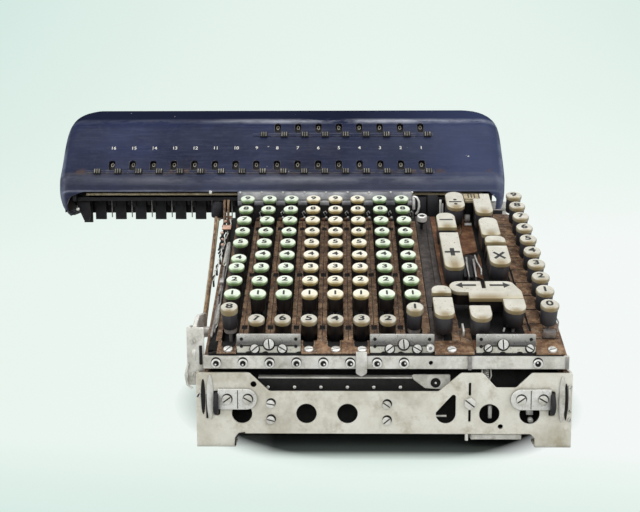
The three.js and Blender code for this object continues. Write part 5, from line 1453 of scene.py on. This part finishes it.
numbers, liner = shapes(2)
for index in range(1, LOWER_ROW[1] + 1):
    numbers.text(str(index), 4.4, COVER_FACE @ shifted(window_x(index), 29.5, 0.02), 0.06, 0.08, 1.15)
numbers.piece("carriage_cover_numbers", NUMBER, body="carriage")
# A dark rust-brown sheet inside the cover's left end
liner.box((-242.4, -241.4), (200, 240), (146, 168))
liner.box((-240, -226), (226, 240), (150, 168), DATUM, 0.5)
liner.piece("carriage_cover_liner", DARK_RUST, body="carriage")

# Dials: drums with their figures round them
for row, (rise, last) in (("lower_dials", LOWER_ROW), ("upper_dials", UPPER_ROW)):
    drums, figures = shapes(2)
    axis = COVER_FACE @ shifted(0, rise, -DRUM_DEPTH)
    shaft = axis @ spin(90, "Y")
    drums.turned([(2.6, -233), (3, -232.6), (3, 152.6), (2.6, 153)], shaft, 16)
    for index in range(1, last + 1):
        x = window_x(index)
        half = [(9, 4), (DRUM_RADIUS - 0.4, 4), (DRUM_RADIUS, 3.6)]
        drums.turned([(r, x - z) for r, z in half] + [(r, x + z) for r, z in half[::-1]], shaft, 40)
        for digit in range(10):
            turn = spin(36 * digit - 9, "X")
            figure_at = axis @ shifted(x, 0, 0) @ turn @ shifted(0, 0, DRUM_RADIUS)
            figures.text(str(digit), 6.6, figure_at, 0.03, 0.12)
    drums.piece(f"{row}_drums", DIAL, [row], row)
    figures.piece(f"{row}_figures", FIGURE, body=row)

# Decimal markers: small grooved sliders on a strip
for row, rise, last in (("lower_markers", 4.6, 17), ("upper_markers", 43.4, 9)):
    sliders, groove_shades, strip = shapes(3)
    across = (window_x(last) - 4, window_x(1) + 11.3)
    strip.box(across, (rise - 1.6, rise + 1.6), (0.3, 0.5), COVER_FACE, 0.08)
    for index in range(1, last + 1):
        x = window_x(index) + 6.3
        # Black blocks under each slider, painted shade in the slot it rides in
        groove_shades.box((x - 3.3, x + 3.3), (rise - 2.7, rise + 2.6), (0.4, 1.6), COVER_FACE, 0.15)
        for low, high in ((-2.6, -1.5), (-0.5, 0.5), (1.5, 2.6)):
            sliders.box((x + low, x + high), (rise - 2.2, rise + 2.1), (1.5, 2.5), COVER_FACE, 0.2)
    pieces(row, {
        "sliders": (sliders, MARKER), "groove_shades": (groove_shades, SHADE_BLACK),
        "strip": (strip, ENAMEL),
    }, [row], row)

# Carriage frame: pins between the comb's teeth, a strip along the bed and the end bracket
COMB_FIRST, COMB_END = -203, 148
comb, strip, bracket, bits = shapes(4)
for k in range(18):
    x = COMB_FIRST + PITCH * k
    if x < COMB_END:
        comb.rod([(x, 220.6, 156.5), (x, 220.6, 139.4)], 0.55, DATUM, 8)
        for side in (-1, 1):
            strip_x = x + side * 2.6
            bracket.box((strip_x - 1.4, strip_x + 1.4), (219.8, 221.6), (150.6 - 0.8 * side, 157))
strip.box((-222, 146), (198.4, 199.4), (162, 164.2))
end_plate = [(-226, 137.6), (-221.6, 137.2), (-219.2, 146), (-221, 163), (-233, 164), (-232, 152)]
bracket.slab(filleted(end_plate, [2, 2, 2, 1, 1, 3], 4), -1.6, 1.6, on_front(0, 206, 0), 0.4)
bracket.box((-233.5, -222), (204, 228), (158.6, 164.4), DATUM, 0.5)
bits.turned([(1.3, 0), (1.5, 0.4), (1.5, 1.4), (0.8, 2)], on_front(-231, 203, 149), 12)
bits.turned([(1, 0), (1.2, 0.4), (1.2, 1), (0.6, 1.4)], on_front(-228.6, 203, 158), 12)
bits.slab([(-106.8, 164.4), (-104.4, 163.6), (-103.6, 166.4), (-106, 167.2)], 0, 0.4,
    on_front(0, 190.2, 0), 0.1)
pieces("carriage_frame", {
    "pins": (comb, LINK), "strip": (strip, BEIGE),
    "bracket": (bracket, BLACK), "bits": (bits, BRIGHT),
}, body="carriage")

# Left side link
POST_X, POST_Y = -94.5, 152
link, rod, head, cap, bars = shapes(5)
arm = filleted([(-30, 54), (-22, 50), (0, 62), (34, 74), (34, 84), (-6, 90), (-24, 86), (-32, 68)],
    [3, 3, 10, 5, 5, 6, 6, 6], 5)
arm_holes = [circle(-22, 56, 2, 14), circle(-18, 72, 1.6, 12), circle(12, 80, 1.8, 12)]
# The arm's frame: its X runs to the rear, its Y up and its Z to the right
arm_turn = Matrix(((0, 0, 1, 0), (1, 0, 0, 0), (0, 1, 0, 0), (0, 0, 0, 1)))
link.sheet(arm, arm_holes, -3, 0, DATUM @ shifted(-89.9, 0, 0) @ arm_turn, 0.4)
link.rod([(-94.4, 10, 74), (-84.4, 10, 74)], 4, DATUM, 18, 0.12)
rod.rod([(-91.2, 25, 76), (-92.2, 70, 101.5), (POST_X, POST_Y, 147)], 2, DATUM, 12)
bars.rod([(-91.4, 15, 73), (-90.6, 60, 103), (-91.6, 117, 150)], 1.2, DATUM, 10)
bars.rod([(-86.6, 134, 139), (-86.2, 136, 163)], 1.1, DATUM, 10)
bars.rod([(-83.4, 134, 139), (-83, 136, 163)], 1.1, DATUM, 10)
cap.turned([(2.3, -2), (2.9, -1.4), (2.9, 1.6), (2.2, 2.6), (1, 2.9)],
    DATUM @ shifted(POST_X, POST_Y - 0.6, 145.4), 20)
head.turned([(4.2, -3), (5.2, -2.4), (5.5, -1), (5.5, 6), (4.8, 9), (3.2, 10.6), (1.2, 11)],
    DATUM @ shifted(POST_X, POST_Y, 149), 24)
link.piece("side_link_arm", NICKEL, ["side_link"], slot="link_steel")
rod.piece("side_link_rod", BEIGE, ["side_link"], slot="link_steel")
cap.piece("side_link_cap", BRIGHT, ["side_link"])
bars.piece("side_link_bars", BROWN)
head.piece("side_link_head", BLACK, ["side_link"])

# Screws and inlet pins of the rear plate, and screws and washers of the side frames
outer, inlet_pins = shapes(2)
REAR_FACE = 262
rear_screws = [(x, 116) for x in (-78, -30, 50, 130, 168)] + [(x, z) for z in (66, 20) for x in (-78, 168)]
for x, z in rear_screws:
    outer.screw(on_rear(x, REAR_FACE, z, 20 + x), 3, 1.4, washer=4.2)
for side, x in ((-1, -84), (1, 174.5)):
    for y, z in ((-18, 30), (60, 30), (150, 30), (228, 30), (228, 110), (150, 110), (90, 88), (-14, 62)):
        outer.screw(on_side(x, y, z, side, 15 + y), 2.8, 1.3, washer=4)
for x, z in ((120, 41), (130, 41), (125, 46)):
    inlet_pins.turned([(1.5, 0), (1.5, 3), (0.9, 3.7)], on_rear(x, REAR_FACE - 4.4, z), 16)
inlet_pins.piece("inlet_pins", BRIGHT)
# Black slot floors: painted shade
outer.slot_floors().piece("frame_slots", SHADE_BLACK)
outer.piece("frame_screws", NICKEL)

# The CAD's own pieces that keep their shape
for name, tone in {
    "left_frame": BROWN, "right_frame": BROWN, "rear_plate": PLATE, "carriage_rail": NICKEL,
    "carriage_frame": BLACK, "motor": MOTOR_PAINT, "motor_pinion": LINK, "drive_shaft": LINK,
}.items():
    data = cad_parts[name].data
    data.materials.clear()
    data.materials.append(tone)

# Stage: floor that rises into a backdrop, soft lamps, and a world that shows pale to the camera
floor = bpy.data.meshes.new("floor")
stage = bmesh.new()
rows = []
BEND = 1.2
bend = [math.radians(a) for a in range(6, 91, 6)]
sweep = [(BEND + BEND * math.sin(a), BEND - BEND * math.cos(a)) for a in bend]
for y, z in [(-3.0, 0), (BEND, 0), *sweep, (2 * BEND, 4.5)]:
    rows.append([stage.verts.new((x, y, z)) for x in (-5, 5)])
for low, high in zip(rows, rows[1:]):
    stage.faces.new((low[0], low[1], high[1], high[0])).smooth = True
stage.to_mesh(floor)
stage.free()
floor_object = bpy.data.objects.new("floor", floor)
bpy.context.scene.collection.objects.link(floor_object)


# The camera's place as the floor's glow takes it, in metres
EYE_BACK, EYE_UP = 0.844, 0.236
# The floor shows its own colour inside this ellipsoid, and glows outside it
GLOW_CENTRE = (0.079, 0, 0)
GLOW_REACH = (0.15, 0.178, 0.3)
# The shadow painted under the machine, in metres: where each of its borders starts and is full
PATCH_LEFT, PATCH_RIGHT = (-0.045, 0.0), (0.21, 0.19)
PATCH_FRONT, PATCH_REAR = (-0.175, -0.156), (0.15, 0.12)


def floor_material():
    """Pale green for the camera with a shadow painted under the machine and painted contact shade near it,
    neutral for other rays; farther out it glows like the backdrop, graded as painted light falloff"""
    n = Nodes("floor")
    split = n.new("ShaderNodeSeparateXYZ")
    n.link(n.place, split.inputs["Vector"])
    x, y, z = (split.outputs[k] for k in "XYZ")
    seen = n.new("ShaderNodeLightPath").outputs["Is Camera Ray"]
    sides = n.times(n.spread(y, *PATCH_FRONT, 0, 0.94), n.spread(x, *PATCH_LEFT))
    shadow = n.times(sides, n.times(n.spread(x, *PATCH_RIGHT), n.spread(y, *PATCH_REAR)))
    # Painted contact shade from the hollows, and the painted shadow under the machine
    near = n.mix(n.hollows(26, 8), n.mix(shadow, "dae9e3", "16201c"), "0e1512")
    n.done(n.mix(seen, "b4b6b4", near), 0.7, n.bump(n.noise(40, 3), 0.02), specular=0.2)
    # The glow is graded, paler to the right, darker up the backdrop towards its sides and darker on the near
    # floor, as painted light falloff
    depth = n.maths("MAXIMUM", n.maths("ADD", y, EYE_BACK), 0.3)
    across = n.maths("DIVIDE", x, depth)
    up = n.spread(n.maths("DIVIDE", n.maths("SUBTRACT", z, EYE_UP), depth), -0.15, 0.12)
    wide = n.times(n.maths("POWER", n.maths("ABSOLUTE", across), 2), 5)
    fall = n.times(up, n.maths("ADD", wide, 0.3))
    fall = n.maths("ADD", fall, n.spread(n.maths("DIVIDE", EYE_UP, depth), 0.33, 0.41, 0, 0.6))
    level = n.maths("SUBTRACT", n.maths("ADD", n.times(across, 0.5), 0.92), fall)
    glow = n.new("ShaderNodeEmission")
    n.link(n.ramp(level, [(0, "d4e9e2"), (0.5, "e1f0e9"), (0.8, "eaf5ef"), (1, "f3f8f6")]),
        glow.inputs["Color"])
    from_middle = n.vector("SUBTRACT", n.place, GLOW_CENTRE)
    far = n.vector("LENGTH", n.vector("DIVIDE", from_middle, GLOW_REACH))
    share = n.times(n.spread(far, 0.98, 1.14), seen)
    join = n.new("ShaderNodeMixShader")
    n.link(share, join.inputs["Fac"])
    n.link(n.shader.outputs["BSDF"], join.inputs[1])
    n.link(glow.outputs["Emission"], join.inputs[2])
    n.link(join.outputs["Shader"], n.tree.nodes["Material Output"].inputs["Surface"])
    return n.material


floor.materials.append(floor_material())

world = bpy.data.worlds.new("studio")
bpy.context.scene.world = world
world.use_nodes = True
tree = world.node_tree
sky = tree.nodes["Background"]
kinds = ("Background", "LightPath", "Math", "MixShader")
shown, path, either, join = (tree.nodes.new(f"ShaderNode{kind}") for kind in kinds)
either.operation = "MAXIMUM"
for node, colour, strength in ((sky, "f2f4f2", 0.34), (shown, "e4f1ec", 1)):
    node.inputs["Color"].default_value = linear(colour)
    node.inputs["Strength"].default_value = strength
for source, target in (
    (path.outputs["Is Camera Ray"], either.inputs[0]),
    (path.outputs["Is Transmission Ray"], either.inputs[1]),
    (either.outputs[0], join.inputs["Fac"]),
    (sky.outputs[0], join.inputs[1]),
    (shown.outputs[0], join.inputs[2]),
    (join.outputs[0], tree.nodes["World Output"].inputs["Surface"]),
):
    tree.links.new(source, target)


def lamp(name, place, aim, size, power):
    data = bpy.data.lights.new(name, "AREA")
    data.shape = "RECTANGLE"
    data.size, data.size_y = size
    data.energy = power
    thing = bpy.data.objects.new(name, data)
    thing.location = place
    thing.rotation_euler = (Vector(aim) - Vector(place)).to_track_quat("-Z", "Y").to_euler()
    bpy.context.scene.collection.objects.link(thing)


for lamp_row in (
    ("top", (0, 0.1, 1.7), (0, 0, 0.1), (1.6, 1.0), 12.5),
    ("front", (0.1, -2.0, 1.0), (0, 0, 0.1), (1.6, 0.5), 11),
    ("front_left", (-1.3, -1.2, 1.1), (0, 0, 0.12), (0.9, 0.9), 7.5),
    ("front_right", (1.4, -1.0, 0.9), (0, 0, 0.12), (0.8, 0.8), 6),
    ("left_edge", (-1.9, -0.5, 0.45), (0, 0, 0.14), (0.35, 1.0), 6),
    ("right_edge", (1.9, -0.6, 0.5), (0, 0, 0.14), (0.35, 1.0), 5),
    ("rear", (0.2, 1.9, 1.5), (0, 0, 0.15), (1.6, 0.8), 9),
):
    lamp(*lamp_row)

camera = bpy.data.cameras.new("camera")
camera.sensor_width = 36
camera.lens = 56.756
camera.clip_start = 0.05
camera_object = bpy.data.objects.new("camera", camera)
heading, roll = Matrix.Rotation(0.0168, 4, "Z"), Matrix.Rotation(-0.0024, 4, "Z")
camera_object.matrix_world = shifted(0.04533, -0.84381, 0.23608) @ heading @ spin(82, "X") @ roll
bpy.context.scene.collection.objects.link(camera_object)
bpy.context.scene.camera = camera_object
bpy.context.scene.view_settings.view_transform = "Standard"
